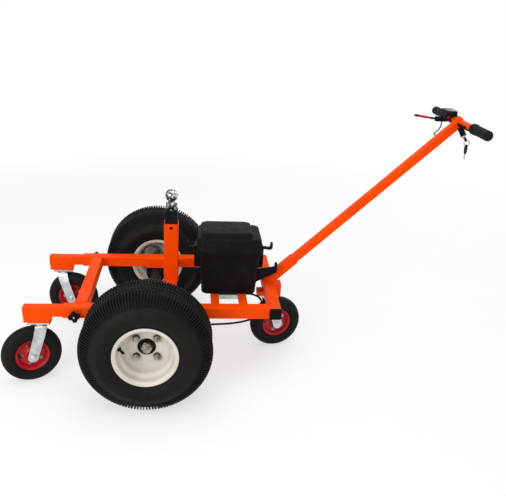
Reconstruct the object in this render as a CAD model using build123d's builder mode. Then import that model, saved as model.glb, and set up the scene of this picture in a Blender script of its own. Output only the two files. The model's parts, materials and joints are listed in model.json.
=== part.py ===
from build123d import *
import os
from math import cos, pi, radians, sin, tan

# Electric trailer mover. Millimetres. +X runs to the rear, where the operator walks, +Y to the
# operator's right and +Z up. It stands on z = 0, with the origin under the middle of its size.

SIDES = (("left", -1), ("right", 1))

# Places along the machine, measured from the drive axle
axle_x = -336.9
rear_tube_reach = 472.0
front_tube_reach = 254.0
rail_front_reach = 317.0
arm_front_reach = 460.0
arm_tail_reach = 117.0
swivel_setback = 56.0
rear_swivel_setback = 4.0
knob_reach = 270.0
post_reach = 72.0
battery_reach = 303.0
bar_spacing = 110.0

# Drive wheels: turf tyre on a deep-dish steel rim with four lugs
tyre_od = 467.0
tyre_width = 206.0
tyre_wall = 11.0
tread_flat = 100.0
shoulder_drop = 15.0
# Share of the section height down to the widest place, and shares of the half width on the way
sidewall_share = 6 / 11
shoulder_start = 0.62
shoulder_end = 0.73
shoulder_foot = 0.82
sidewall_start = 0.93
sidewall_foot = 0.963
bead_height = 10.0
tread_groove_depth = 5.0
tread_groove_width = 6.0
tread_groove_pitch = 24.0
tread_groove_count = 4
wheel_y = 411.0
rim_width = 178.0
rim_flange_od = 230.4
rim_seat_od = 203.0
rim_well_od = 176.0
rim_wall = 3.5
rim_bore = 65.0
disc_offset = 6.0
disc_wall = 4.0
bead_gap = 0.2
seat_taper = 1.0
seat_inset = 28.0
well_inset = 44.0
flange_lip = 4.0
flange_roll = 5.0
disc_step = 6.0
disc_band = 14.0
disc_bevel = 8.0
lug_pcd = 101.6
lug_count = 4
lug_turn = 45.0
stud_show = 6.0
stud_d = 12.0
lug_across_flats = 21.0
lug_height = 16.0
lug_clear = 0.1

# Frame of square tube
rail_size = 45.0
rail_wall = 3.0
rail_y = 241.5
rail_lift = 48.5
tube_corner = 5.0
arm_corner = 4.0
arm_wall = 3.0
inner_corner = 0.5
slide_clear = 0.5
axle_plate_wall = 8.0
axle_plate_width = 84.0
cap_wall = 4.0
cap_depth = 20.0
plug_clear = 0.4
battery_bar_width = 32.0
battery_bar_height = 20.0
battery_bar_wall = 2.0

# Tow-ball post: an inner tube slides in a fixed sleeve
ball_tube_size = 50.0
ball_tube_wall = 3.0
post_wall = 3.0
post_height = 246.0
post_weld_rise = 38.0
weld_bead = 3.0
ball_tube_show = 53.0
ball_tube_length = 220.0
post_pin_d = 13.0
post_pin_drop = 16.5
post_hole_pitch = 40.0
post_hole_count = 4
post_knob_drop = 62.0
ball_d = 50.0
ball_flat_rise = 23.0
ball_neck_d = 27.0
ball_neck = 8.0
ball_flange_d = 44.0
ball_flange = 24.0
ball_washer_d = 42.0
ball_washer = 4.0
ball_shank_d = 22.0
ball_nut_flats = 32.0
ball_nut_height = 18.0
ball_plate = 8.0

# Caster arms and casters
block_front_setback = 1.5
block_length = 91.0
block_slant = 15.0
block_drop = 20.0
caster_head = 19.5
caster_tyre_width = 55.0
caster_rim_od = 124.0
caster_rim_width = 44.0
caster_trail = 38.0
caster_well_depth = 11.0
caster_rim_wall = 3.0
caster_rim_lip = 2.0
caster_bead_drop = 4.0
caster_bead_inset = 5.0
caster_web_rise = 5.0
caster_shoulder_drop = 7.0
caster_shoulder_half = 20.6
caster_plate_length = 84.0
caster_plate_width = 46.0
caster_plate_wall = 6.0
plate_bolt_inset = 10.0
plate_bolt_flats = 13.0
race_d = 44.0
race_height = 4.0
swivel_gap = 0.3
fork_wall = 4.2
fork_crown_half = 29.0
fork_half = 37.5
fork_splay_drop = 39.2
fork_leg = 40.0
fork_crown_leg = 44.0
fork_crown_d = 48.0
king_pin_d = 14.0
king_nut_flats = 22.0
king_nut_height = 4.6
caster_axle_d = 12.0
caster_hub_d = 34.0
axle_head_flats = 19.0
axle_head_height = 8.0
run_clear = 0.05
# Swivel angle of each caster as photographed, from straight ahead of its pivot
swivel_left = 202.0
swivel_right = -10.0
swivel_rear = 14.0

# Clamp knobs
knob_lobe_d = 19.0
knob_lobe_circle = 26.0
knob_core_d = 26.0
knob_height = 17.0
knob_lobes = 4
knob_turn = 10.0
knob_round = 3.0
knob_neck_d = 18.0
knob_neck = 8.0
knob_stud_d = 8.0
knob_drop = 4.0
knob_boss_d = 20.0
knob_boss = 6.0
stud_tip_gap = 0.3

# Drive unit: motor, two-stage gear case, differential gear and half shafts
axle_tube_d = 45.0
axle_tube_bore = 33.0
axle_tube_end = 322.0
bearing_length = 16.0
shaft_d = 25.0
shaft_gap = 2.0
case_half = 42.0
case_wall = 6.0
case_room = 3.0
case_nose_d = 48.0
first_module = 1.5
second_module = 1.75
pinion_teeth = 12
wheel_teeth = 48
tooth_base = 0.52
tooth_crest = 0.20
tooth_tip = 0.9
tooth_root = 1.15
first_gear_y = -24.0
first_gear_face = 12.0
second_gear_y = 8.0
second_gear_face = 16.0
pinion_overhang = 1.5
carrier_d = 40.0
carrier_set_in = 3.0
counter_shaft_d = 12.0
counter_boss = 14.0
counter_boss_d = 24.0
rotor_shaft_d = 12.0
motor_d = 112.0
motor_length = 128.0
motor_wall = 5.0
motor_round = 8.0
rotor_d = 84.0
rotor_length = 84.0
hub_flange_d = 138.0
hub_flange = 10.0
hub_barrel_d = 62.0
hub_barrel = 60.0
axle_nut_flats = 36.0
axle_nut_height = 14.0
shaft_end = 8.0

# Battery box
battery_base_length = 240.0
battery_base_width = 196.0
battery_foot_length = 216.0
battery_foot_width = 176.0
battery_base_height = 178.0
battery_wall = 4.0
battery_corner = 24.0
lip_length = 262.0
lip_width = 206.0
lip_height = 8.0
lip_show = 2.0
lid_length = 254.0
lid_width = 198.0
lid_round = 6.0
lid_skirt_height = 14.0
lid_shoulder_height = 56.0
lid_top_height = 76.0
lid_crown_length = 206.0
lid_crown_shift = 12.0
lid_crown_width = 150.0
lid_draft = 6.0
battery_length = 186.0
battery_width = 150.0
battery_height = 150.0
battery_case_corner = 6.0
terminal_spacing = 140.0
terminal_d = 14.0
terminal_height = 10.0
hook_y = 55.0
hook_width = 16.0
hook_wall = 9.0
lid_hook_lift = 5.0
lid_hook_reach = 42.0
lid_hook_rise = 30.0
base_hook_reach = 88.0
base_hook_root = 54.0
base_hook_rise = 86.0
base_hook_drop = 138.0
end_grip_reach = 8.0
end_grip_width = 80.0
end_grip_drop = 80.0
end_grip_corner = 8.0

# Motor controller
controller_length = 120.0
controller_width = 110.0
controller_height = 19.0
controller_reach = 305.0
fin_count = 9
fin_wall = 2.5
fin_depth = 7.0

# Handle and T-bar
handle_size = 32.0
handle_wall = 2.5
socket_wall = 2.5
handle_angle = 43.9
handle_length = 981.0
socket_length = 142.0
handle_tail = 48.0
t_bar_d = 25.4
t_bar_wall = 2.5
t_bar_half = 262.0
grip_end = 3.0
grip_round = 5.0
end_cap_lap = 1.0
cable_hole_setback = 97.0
cable_hole_drop = 6.0
cable_hole_d = 8.0

# Hand controls, placed along the T-bar
throttle_y = -132.0
throttle_body = 28.0
throttle_d = 40.0
throttle_grip_d = 37.0
throttle_gap = 0.3
grip_d = 34.0
grip_y = 146.0
pod_x = -19.0
pod_y = 30.0
pod_length = 76.0
pod_depth = 42.0
pod_height = 18.0
pod_rise = 17.0
pod_clamp_d = 36.0
pod_clamp_y = 56.0
pod_clamp_length = 56.0
pod_neck = 25.0
pod_corner = 9.0
pod_round = 3.0
screen_length = 52.0
screen_depth = 28.0
screen_recess = 1.0
screen_corner = 4.0
button_d = 13.0
button_height = 6.0
button_round = 1.5
button_boss_d = 26.0
button_sink = 5.0
button_clear = 0.15
button_x = -24.0
button_z = 9.0
perch_y = 118.0
perch_length = 24.0
perch_d = 36.0
pivot_x = -38.0
pivot_z = -12.8
ear_wall = 4.0
lever_wall = 9.0
lever_root_d = 20.0
lever_pin_d = 6.0
lever_reach_x = -70.0
lever_reach_y = 67.0
lever_width = 11.0
lever_tip_d = 14.0
lever_gap = 0.3
lever_room = 2.0
lever_knee_x = -21.0
lever_knee_y = 14.7
key_y = -40.0
key_x = -10.0
key_z = -16.0
key_tilt = 32.0
saddle_d = 34.0
saddle_y = -20.0
saddle_length = 76.0
key_barrel_d = 22.0
key_barrel = 36.0
key_shaft_d = 6.0
key_shaft = 10.0
key_bow_d = 24.0
key_wall = 2.4
key_ring_d = 22.0
key_ring_wire = 2.0
spare_key_length = 46.0
spare_key_d = 20.0
spare_blade_width = 8.0

# Cables
lever_cable_d = 5.0
motor_cable_d = 8.0
gland_d = 18.0
gland_height = 6.0
plug_y = -30.0

# Worked-out places
axle_z = tyre_od / 2
rail_z = axle_z + rail_lift
rail_top = rail_z + rail_size / 2
rail_bottom = rail_z - rail_size / 2
post_top = rail_top + post_height
ball_tube_top = post_top + ball_tube_show
rail_in = rail_y - rail_size / 2
rail_out = rail_y + rail_size / 2
rear_tube_x = axle_x + rear_tube_reach
front_tube_x = axle_x - front_tube_reach
rail_front_x = axle_x - rail_front_reach
knob_x = axle_x - knob_reach
arm_front_x = axle_x - arm_front_reach
swivel_x = arm_front_x + swivel_setback
rear_swivel_x = rear_tube_x + rear_swivel_setback
knob_z = rail_z - knob_drop
post_x = axle_x + post_reach
battery_x = axle_x + battery_reach
arm_size = rail_size - 2 * (rail_wall + slide_clear)
post_size = ball_tube_size + 2 * (post_wall + slide_clear)
socket_size = handle_size + 2 * (socket_wall + slide_clear)
battery_z = rail_bottom + battery_bar_height
lip_z = battery_z + battery_base_height
caster_height = rail_bottom - block_drop
caster_od = caster_height - caster_head
caster_r = caster_od / 2
plate_z = caster_height - caster_plate_wall
race_z = plate_z - race_height
crown_z = race_z - swivel_gap
fork_splay_z = crown_z - fork_splay_drop
counter_x = axle_x - second_module * (pinion_teeth + wheel_teeth) / 2
motor_x = counter_x - first_module * (pinion_teeth + wheel_teeth) / 2
bar_x = rear_tube_x + handle_length * cos(radians(handle_angle))
bar_z = rail_top + handle_length * sin(radians(handle_angle))
bar_r = t_bar_d / 2
carrier_left_y = first_gear_y + first_gear_face + carrier_set_in
carrier_right_y = case_half - case_wall - swivel_gap
shaft_split_y = (carrier_left_y + carrier_right_y) / 2

os.makedirs("parts", exist_ok=True)


def side_view(y, x=0.0, z=0.0):
    """Upright plane along the machine: local x is +X, local y is +Z, and it faces -Y."""
    return Plane(origin=(x, y, z), x_dir=(1, 0, 0), z_dir=(0, -1, 0))


def end_view(x, y=0.0, z=0.0):
    """Upright plane across the machine: local x is +Y, local y is +Z, and it faces +X."""
    return Plane(origin=(x, y, z), x_dir=(0, 1, 0), z_dir=(1, 0, 0))


def wheel_section(s):
    """Plane through a drive wheel's axis: local x runs outboard, local y is the radius."""
    return Plane(origin=(axle_x, s * wheel_y, axle_z), x_dir=(0, s, 0), z_dir=(s, 0, 0))


def tube_section(size, wall, corner=tube_corner):
    """Section of a square tube with rounded corners, drawn in the sketch around it."""
    RectangleRounded(size, size, corner)
    inner = size - 2 * wall
    RectangleRounded(inner, inner, max(corner - wall, inner_corner), mode=Mode.SUBTRACT)


def hexagon(flats):
    """Hexagon of a nut or bolt head, by its width across the flats."""
    RegularPolygon(radius=flats / 2, side_count=6, major_radius=False)


def handle_plane(along):
    """Plane square to the handle: local x is +Y, local y is the handle's upper side."""
    lean = radians(handle_angle)
    foot = Vector(rear_tube_x, 0, rail_top) + along * Vector(cos(lean), 0, sin(lean))
    return Plane(origin=foot, x_dir=(0, 1, 0), z_dir=(cos(lean), 0, sin(lean)))


def gear_outline(teeth, module, turn=0.0):
    """Spur gear with straight-flanked teeth, drawn in the sketch around it."""
    pitch_r = module * teeth / 2
    root_r = pitch_r - tooth_root * module
    tip_r = pitch_r + tooth_tip * module
    base_half = tooth_base * pi * module / 2
    crest_half = tooth_crest * pi * module / 2
    sunk_r = root_r - module / 2
    Circle(root_r)
    with PolarLocations(0, teeth, start_angle=turn):
        Polygon(
            (sunk_r, -base_half),
            (tip_r, -crest_half),
            (tip_r, crest_half),
            (sunk_r, base_half),
            align=None,
        )


# Side rails, with the axle plates welded to both faces and the clamp boss outside
axle_plate_top = rail_top - axle_z - tube_corner
for side, s in SIDES:
    with BuildPart() as side_rail:
        with BuildSketch(end_view(rail_front_x, s * rail_y, rail_z)):
            tube_section(rail_size, rail_wall)
        extrude(amount=rear_tube_x - rail_size / 2 - rail_front_x)
        for face_y in (rail_in - axle_plate_wall, rail_out):
            with BuildSketch(side_view(s * face_y, axle_x, axle_z)):
                Circle(axle_plate_width / 2)
                with Locations((0, axle_plate_top / 2)):
                    Rectangle(axle_plate_width, axle_plate_top)
                Circle(axle_tube_d / 2, mode=Mode.SUBTRACT)
            extrude(amount=-s * axle_plate_wall)
        with BuildSketch(side_view(s * rail_out, knob_x, knob_z)):
            Circle(knob_boss_d / 2)
        extrude(amount=-s * knob_boss)
        with BuildSketch(side_view(s * rail_y, knob_x, knob_z)):
            Circle(knob_stud_d / 2 + run_clear)
        extrude(amount=-s * rail_size, mode=Mode.SUBTRACT)
    side_rail.part.label = f"side_rail_{side}"
    export_step(side_rail.part, f"parts/side_rail_{side}.step")

# Two cross tubes between the rails: one at the front and one under the tow-ball post
with BuildPart() as cross_tubes:
    for tube_x in (front_tube_x, post_x):
        with BuildSketch(side_view(rail_in, tube_x, rail_z)):
            tube_section(rail_size, rail_wall)
        extrude(amount=2 * rail_in)
cross_tubes.part.label = "cross_tubes"
export_step(cross_tubes.part, "parts/cross_tubes.step")

# Rear cross tube over the ends of the rails, with a plastic cap in each end
with BuildPart() as rear_cross_tube:
    with BuildSketch(side_view(rail_out, rear_tube_x, rail_z)):
        tube_section(rail_size, rail_wall)
    extrude(amount=2 * rail_out)
rear_cross_tube.part.label = "rear_cross_tube"
export_step(rear_cross_tube.part, "parts/rear_cross_tube.step")

plug_size = rail_size - 2 * (rail_wall + plug_clear)
with BuildPart() as rear_tube_caps:
    for side, s in SIDES:
        with BuildSketch(side_view(s * rail_out, rear_tube_x, rail_z)):
            RectangleRounded(rail_size, rail_size, tube_corner)
        extrude(amount=-s * cap_wall)
        with BuildSketch(side_view(s * (rail_out - cap_depth), rear_tube_x, rail_z)):
            RectangleRounded(plug_size, plug_size, tube_corner - rail_wall)
        extrude(amount=-s * cap_depth)
rear_tube_caps.part.label = "rear_tube_caps"
export_step(rear_tube_caps.part, "parts/rear_tube_caps.step")

# Two flat tubes between the rails carry the battery box
with BuildPart() as battery_bars:
    for step in (-0.5, 0.5):
        bar_at = battery_x + step * bar_spacing
        with BuildSketch(side_view(rail_in, bar_at, rail_bottom + battery_bar_height / 2)):
            Rectangle(battery_bar_width, battery_bar_height)
            Rectangle(
                battery_bar_width - 2 * battery_bar_wall,
                battery_bar_height - 2 * battery_bar_wall,
                mode=Mode.SUBTRACT,
            )
        extrude(amount=2 * rail_in)
battery_bars.part.label = "battery_bars"
export_step(battery_bars.part, "parts/battery_bars.step")

# Tow-ball post: a sleeve welded on the second cross tube
pin_z = post_top - post_pin_drop
post_knob_z = post_top - post_knob_drop
with BuildPart() as hitch_post:
    with BuildSketch(Plane((post_x, 0, rail_top))):
        tube_section(post_size, post_wall)
    extrude(amount=post_top - rail_top)
    with BuildSketch(Plane((post_x, 0, rail_top + post_weld_rise - weld_bead / 2))):
        bead_size = post_size + weld_bead / 2
        RectangleRounded(bead_size, bead_size, tube_corner)
        RectangleRounded(post_size, post_size, tube_corner, mode=Mode.SUBTRACT)
    extrude(amount=weld_bead)
    with BuildSketch(side_view(post_size, post_x, pin_z)):
        Circle(post_pin_d / 2)
    extrude(amount=2 * post_size, mode=Mode.SUBTRACT)
    with BuildSketch(side_view(post_size / 2, post_x, post_knob_z)):
        Circle(knob_boss_d / 2)
    extrude(amount=-knob_boss)
    with BuildSketch(side_view(0, post_x, post_knob_z)):
        Circle(knob_stud_d / 2 + run_clear)
    extrude(amount=-post_size, mode=Mode.SUBTRACT)
hitch_post.part.label = "hitch_post"
export_step(hitch_post.part, "parts/hitch_post.step")

# Sliding ball tube, closed by a plate, with a row of pin holes
with BuildPart() as ball_tube:
    with BuildSketch(Plane((post_x, 0, ball_tube_top - ball_tube_length))):
        tube_section(ball_tube_size, ball_tube_wall, arm_corner)
    extrude(amount=ball_tube_length)
    with BuildSketch(Plane((post_x, 0, ball_tube_top - ball_plate))):
        RectangleRounded(ball_tube_size, ball_tube_size, arm_corner)
        Circle(ball_shank_d / 2 + lug_clear, mode=Mode.SUBTRACT)
    extrude(amount=ball_plate)
    for index in range(post_hole_count):
        with BuildSketch(side_view(post_size, post_x, pin_z - index * post_hole_pitch)):
            Circle(post_pin_d / 2)
        extrude(amount=2 * post_size, mode=Mode.SUBTRACT)
ball_tube.part.label = "ball_tube"
export_step(ball_tube.part, "parts/ball_tube.step")

# Tow ball: washer, hexagon flange, neck and ball above the plate, shank and nut under it
ball_flange_z = ball_tube_top + ball_washer
ball_neck_z = ball_flange_z + ball_flange
neck_r = ball_neck_d / 2
ball_dip = (ball_d**2 / 4 - neck_r**2) ** 0.5
ball_z = ball_neck_z + ball_neck + ball_dip
nut_top = ball_tube_top - ball_plate
with BuildPart() as tow_ball:
    with BuildSketch(Plane((post_x, 0, ball_tube_top))):
        Circle(ball_washer_d / 2)
    extrude(amount=ball_washer)
    with BuildSketch(Plane((post_x, 0, ball_flange_z))):
        hexagon(ball_flange_d * cos(pi / 6))
    extrude(amount=ball_flange)
    with BuildSketch(Plane((post_x, 0, ball_neck_z))):
        Circle(neck_r)
    extrude(amount=ball_neck + ball_dip)
    with Locations((post_x, 0, ball_z)):
        Sphere(ball_d / 2)
    with BuildSketch(Plane((post_x, 0, nut_top - ball_nut_height))):
        Circle(ball_shank_d / 2)
    extrude(amount=ball_nut_height + ball_plate)
    with BuildSketch(Plane((post_x, 0, nut_top - ball_nut_height))):
        hexagon(ball_nut_flats)
    extrude(amount=ball_nut_height)
    ball_top_z = ball_z + ball_flat_rise
    split(bisect_by=Plane((post_x, 0, ball_top_z)), keep=Keep.BOTTOM)
tow_ball.part.label = "tow_ball"
export_step(tow_ball.part, "parts/tow_ball.step")


def star_knob(plane, tip):
    """Four-lobe clamp knob: its neck stands on the plane and its stud runs back to the tip."""
    with BuildPart() as knob:
        with BuildSketch(plane):
            Circle(knob_neck_d / 2)
        extrude(amount=knob_neck)
        with BuildSketch(plane.offset(knob_neck)):
            Circle(knob_core_d / 2)
            with PolarLocations(knob_lobe_circle / 2, knob_lobes, start_angle=knob_turn):
                Circle(knob_lobe_d / 2)
        extrude(amount=knob_height)
        fillet(knob.faces().sort_by(SortBy.AREA)[-1].outer_wire().edges(), knob_round)
        with BuildSketch(plane):
            Circle(knob_stud_d / 2)
        extrude(amount=-tip)
    return knob


# Arm clamp knobs on the outer faces of the rails, and the ball tube's clamp knob
arm_knob_tip = knob_boss + rail_wall + slide_clear - stud_tip_gap
for side, s in SIDES:
    seat = Plane(origin=(knob_x, s * (rail_out + knob_boss), knob_z), x_dir=(1, 0, 0), z_dir=(0, s, 0))
    arm_knob = star_knob(seat, arm_knob_tip)
    arm_knob.part.label = f"arm_knob_{side}"
    export_step(arm_knob.part, f"parts/arm_knob_{side}.step")

post_seat = Plane(origin=(post_x, post_size / 2 + knob_boss, post_knob_z), x_dir=(1, 0, 0), z_dir=(0, 1, 0))
post_knob = star_knob(post_seat, knob_boss + post_wall + slide_clear - stud_tip_gap)
post_knob.part.label = "post_knob"
export_step(post_knob.part, "parts/post_knob.step")

# Caster arms: a tube sliding in the front of each rail, with a block under its end
arm_bottom = rail_z - arm_size / 2
block_front_x = arm_front_x + block_front_setback
for side, s in SIDES:
    with BuildPart() as caster_arm:
        with BuildSketch(end_view(arm_front_x, s * rail_y, rail_z)):
            tube_section(arm_size, arm_wall, arm_corner)
        extrude(amount=arm_front_reach - arm_tail_reach)
        with BuildSketch(end_view(arm_front_x, s * rail_y, rail_z)):
            RectangleRounded(arm_size, arm_size, arm_corner)
        extrude(amount=arm_wall)
        with BuildSketch(side_view(s * rail_y - arm_size / 2)):
            Polygon(
                (block_front_x, caster_height),
                (block_front_x + block_length, caster_height),
                (block_front_x + block_length + block_slant, arm_bottom),
                (block_front_x + block_length + block_slant, arm_bottom + arm_corner),
                (block_front_x, arm_bottom + arm_corner),
                align=None,
            )
        extrude(amount=-arm_size)
        with BuildSketch(end_view(arm_front_x + arm_wall, s * rail_y, rail_z)):
            Rectangle(arm_size - 2 * arm_wall, arm_size - 2 * arm_wall)
        extrude(amount=arm_front_reach, mode=Mode.SUBTRACT)
    caster_arm.part.label = f"caster_arm_{side}"
    export_step(caster_arm.part, f"parts/caster_arm_{side}.step")

# Rear caster bracket: a block under the rear tube and a short stub behind it
bracket_length = block_length + block_slant / 2
bracket_front_x = rear_swivel_x - bracket_length / 2
stub_x = rear_tube_x + rail_size / 2
with BuildPart() as rear_caster_bracket:
    with BuildSketch(Plane((rear_swivel_x, 0, caster_height))):
        Rectangle(bracket_length, caster_plate_width)
    extrude(amount=rail_bottom - caster_height)
    with BuildSketch(end_view(stub_x, 0, rail_bottom)):
        Rectangle(caster_plate_width, rail_size - 2 * tube_corner, align=(Align.CENTER, Align.MIN))
    extrude(amount=bracket_front_x + bracket_length - stub_x)
rear_caster_bracket.part.label = "rear_caster_bracket"
export_step(rear_caster_bracket.part, "parts/rear_caster_bracket.step")


# Casters: left and right front, and rear
casters = (
    ("left", swivel_x, -rail_y, swivel_left),
    ("right", swivel_x, rail_y, swivel_right),
    ("rear", rear_swivel_x, 0.0, swivel_rear),
)
crown_bottom = crown_z - fork_wall
fork_in = fork_half - fork_wall
hub_half = fork_in - swivel_gap
for place, cx, cy, heading in casters:
    trail_dir = Vector(cos(radians(heading)), sin(radians(heading)), 0)
    axle_dir = Vector(-sin(radians(heading)), cos(radians(heading)), 0)
    pivot = Vector(cx, cy, 0)
    wheel_at = pivot + caster_trail * trail_dir + Vector(0, 0, caster_r)
    # Upright planes of the fork: along the trail, and along the wheel's axle
    along = Plane(origin=pivot, x_dir=trail_dir, z_dir=-axle_dir)
    across = Plane(origin=pivot, x_dir=axle_dir, z_dir=trail_dir)
    section = Plane(origin=wheel_at, x_dir=axle_dir, z_dir=trail_dir)
    wheel_axis = Axis(wheel_at, axle_dir)

    # Fixed top plate with its bolts, ball race and king pin
    with BuildPart() as caster_plate:
        with BuildSketch(Plane((cx, cy, plate_z))):
            RectangleRounded(caster_plate_length, caster_plate_width, tube_corner)
        extrude(amount=caster_plate_wall)
        with BuildSketch(Plane((cx, cy, race_z))):
            Circle(race_d / 2)
        extrude(amount=race_height)
        with BuildSketch(Plane((cx, cy, crown_bottom - swivel_gap - king_nut_height))):
            Circle(king_pin_d / 2)
        extrude(amount=plate_z - crown_bottom + swivel_gap + king_nut_height)
        with BuildSketch(Plane((cx, cy, crown_bottom - swivel_gap - king_nut_height))):
            hexagon(king_nut_flats)
        extrude(amount=king_nut_height)
        bolt_x = caster_plate_length - 2 * plate_bolt_inset
        bolt_y = caster_plate_width - 2 * plate_bolt_inset
        with BuildSketch(Plane((cx, cy, race_z))):
            with GridLocations(bolt_x, bolt_y, 2, 2):
                hexagon(plate_bolt_flats)
        extrude(amount=race_height)
    caster_plate.part.label = f"caster_{place}_plate"
    export_step(caster_plate.part, f"parts/caster_{place}_plate.step")

    # Fork: crown, two splayed legs, and the axle bolt with its head and nut
    with BuildPart() as caster_fork:
        with BuildSketch(across):
            Polygon(
                (-fork_half, 0),
                (-fork_half, fork_splay_z),
                (-fork_crown_half, crown_z),
                (fork_crown_half, crown_z),
                (fork_half, fork_splay_z),
                (fork_half, 0),
                (fork_in, 0),
                (fork_in, fork_splay_z),
                (fork_crown_half - fork_wall, crown_bottom),
                (fork_wall - fork_crown_half, crown_bottom),
                (-fork_in, fork_splay_z),
                (-fork_in, 0),
                align=None,
            )
        extrude(amount=caster_od, both=True)
        with BuildSketch(along):
            with Locations((caster_trail, caster_r)):
                Circle(fork_leg / 2)
            Polygon(
                (-fork_crown_leg / 2, crown_z),
                (fork_crown_leg / 2, crown_z),
                (caster_trail + fork_leg / 2, caster_r),
                (caster_trail - fork_leg / 2, caster_r),
                align=None,
            )
        extrude(amount=caster_od, both=True, mode=Mode.INTERSECT)
        with BuildSketch(Plane((cx, cy, crown_bottom))):
            Circle(fork_crown_d / 2)
        extrude(amount=fork_wall)
        with BuildSketch(Plane((cx, cy, crown_bottom))):
            Circle(king_pin_d / 2 + run_clear)
        extrude(amount=fork_wall, mode=Mode.SUBTRACT)
        with BuildSketch(along):
            with Locations((caster_trail, caster_r)):
                Circle(caster_axle_d / 2)
        extrude(amount=fork_half, both=True)
        for face in (-fork_half - axle_head_height, fork_half):
            with BuildSketch(along.offset(face)):
                with Locations((caster_trail, caster_r)):
                    hexagon(axle_head_flats)
            extrude(amount=axle_head_height)
    caster_fork.part.label = f"caster_{place}_fork"
    export_step(caster_fork.part, f"parts/caster_{place}_fork.step")

    # Pressed rim: hub tube, dished web, well and flanges
    rim_r = caster_rim_od / 2
    rim_half = caster_rim_width / 2
    well_r = rim_r - caster_well_depth
    web_r = well_r - caster_rim_wall
    lip_x = rim_half - caster_rim_wall
    bead_x = rim_half - caster_bead_inset
    bead_at = rim_r - caster_bead_drop
    with BuildPart() as caster_rim:
        with BuildSketch(section):
            Polygon(
                (-hub_half, caster_axle_d / 2 + run_clear),
                (hub_half, caster_axle_d / 2 + run_clear),
                (hub_half, caster_hub_d / 2),
                (rim_half / 2, caster_hub_d / 2 + caster_web_rise),
                (rim_half / 4, web_r),
                (rim_half / 2, web_r),
                (lip_x, bead_at - caster_rim_wall),
                (rim_half, rim_r - caster_rim_lip),
                (rim_half, rim_r),
                (lip_x, rim_r),
                (bead_x, bead_at),
                (rim_half / 2, well_r),
                (-rim_half / 2, well_r),
                (-bead_x, bead_at),
                (-lip_x, rim_r),
                (-rim_half, rim_r),
                (-rim_half, rim_r - caster_rim_lip),
                (-lip_x, bead_at - caster_rim_wall),
                (-rim_half / 2, web_r),
                (-rim_half / 4, web_r),
                (-rim_half / 2, caster_hub_d / 2 + caster_web_rise),
                (-hub_half, caster_hub_d / 2),
                align=None,
            )
        revolve(axis=wheel_axis)
    caster_rim.part.label = f"caster_{place}_rim"
    export_step(caster_rim.part, f"parts/caster_{place}_rim.step")

    # Pneumatic tyre on the rim's seat
    seat_r = bead_at + bead_gap
    seat_x = bead_x - bead_gap
    edge_x = lip_x - bead_gap
    edge_r = rim_r + bead_gap
    tyre_half = caster_tyre_width / 2
    shoulder_r = caster_r - caster_shoulder_drop
    side_r = (caster_r + rim_r) / 2
    left_shoulder = (-caster_shoulder_half, shoulder_r)
    right_shoulder = (caster_shoulder_half, shoulder_r)
    with BuildPart() as caster_tyre:
        with BuildSketch(section):
            with BuildLine():
                Polyline((-edge_x, edge_r), (-seat_x, seat_r), (seat_x, seat_r), (edge_x, edge_r))
                ThreePointArc((edge_x, edge_r), (tyre_half, side_r), right_shoulder)
                ThreePointArc(right_shoulder, (0, caster_r), left_shoulder)
                ThreePointArc(left_shoulder, (-tyre_half, side_r), (-edge_x, edge_r))
            make_face()
        revolve(axis=wheel_axis)
    caster_tyre.part.label = f"caster_{place}_tyre"
    export_step(caster_tyre.part, f"parts/caster_{place}_tyre.step")

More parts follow.
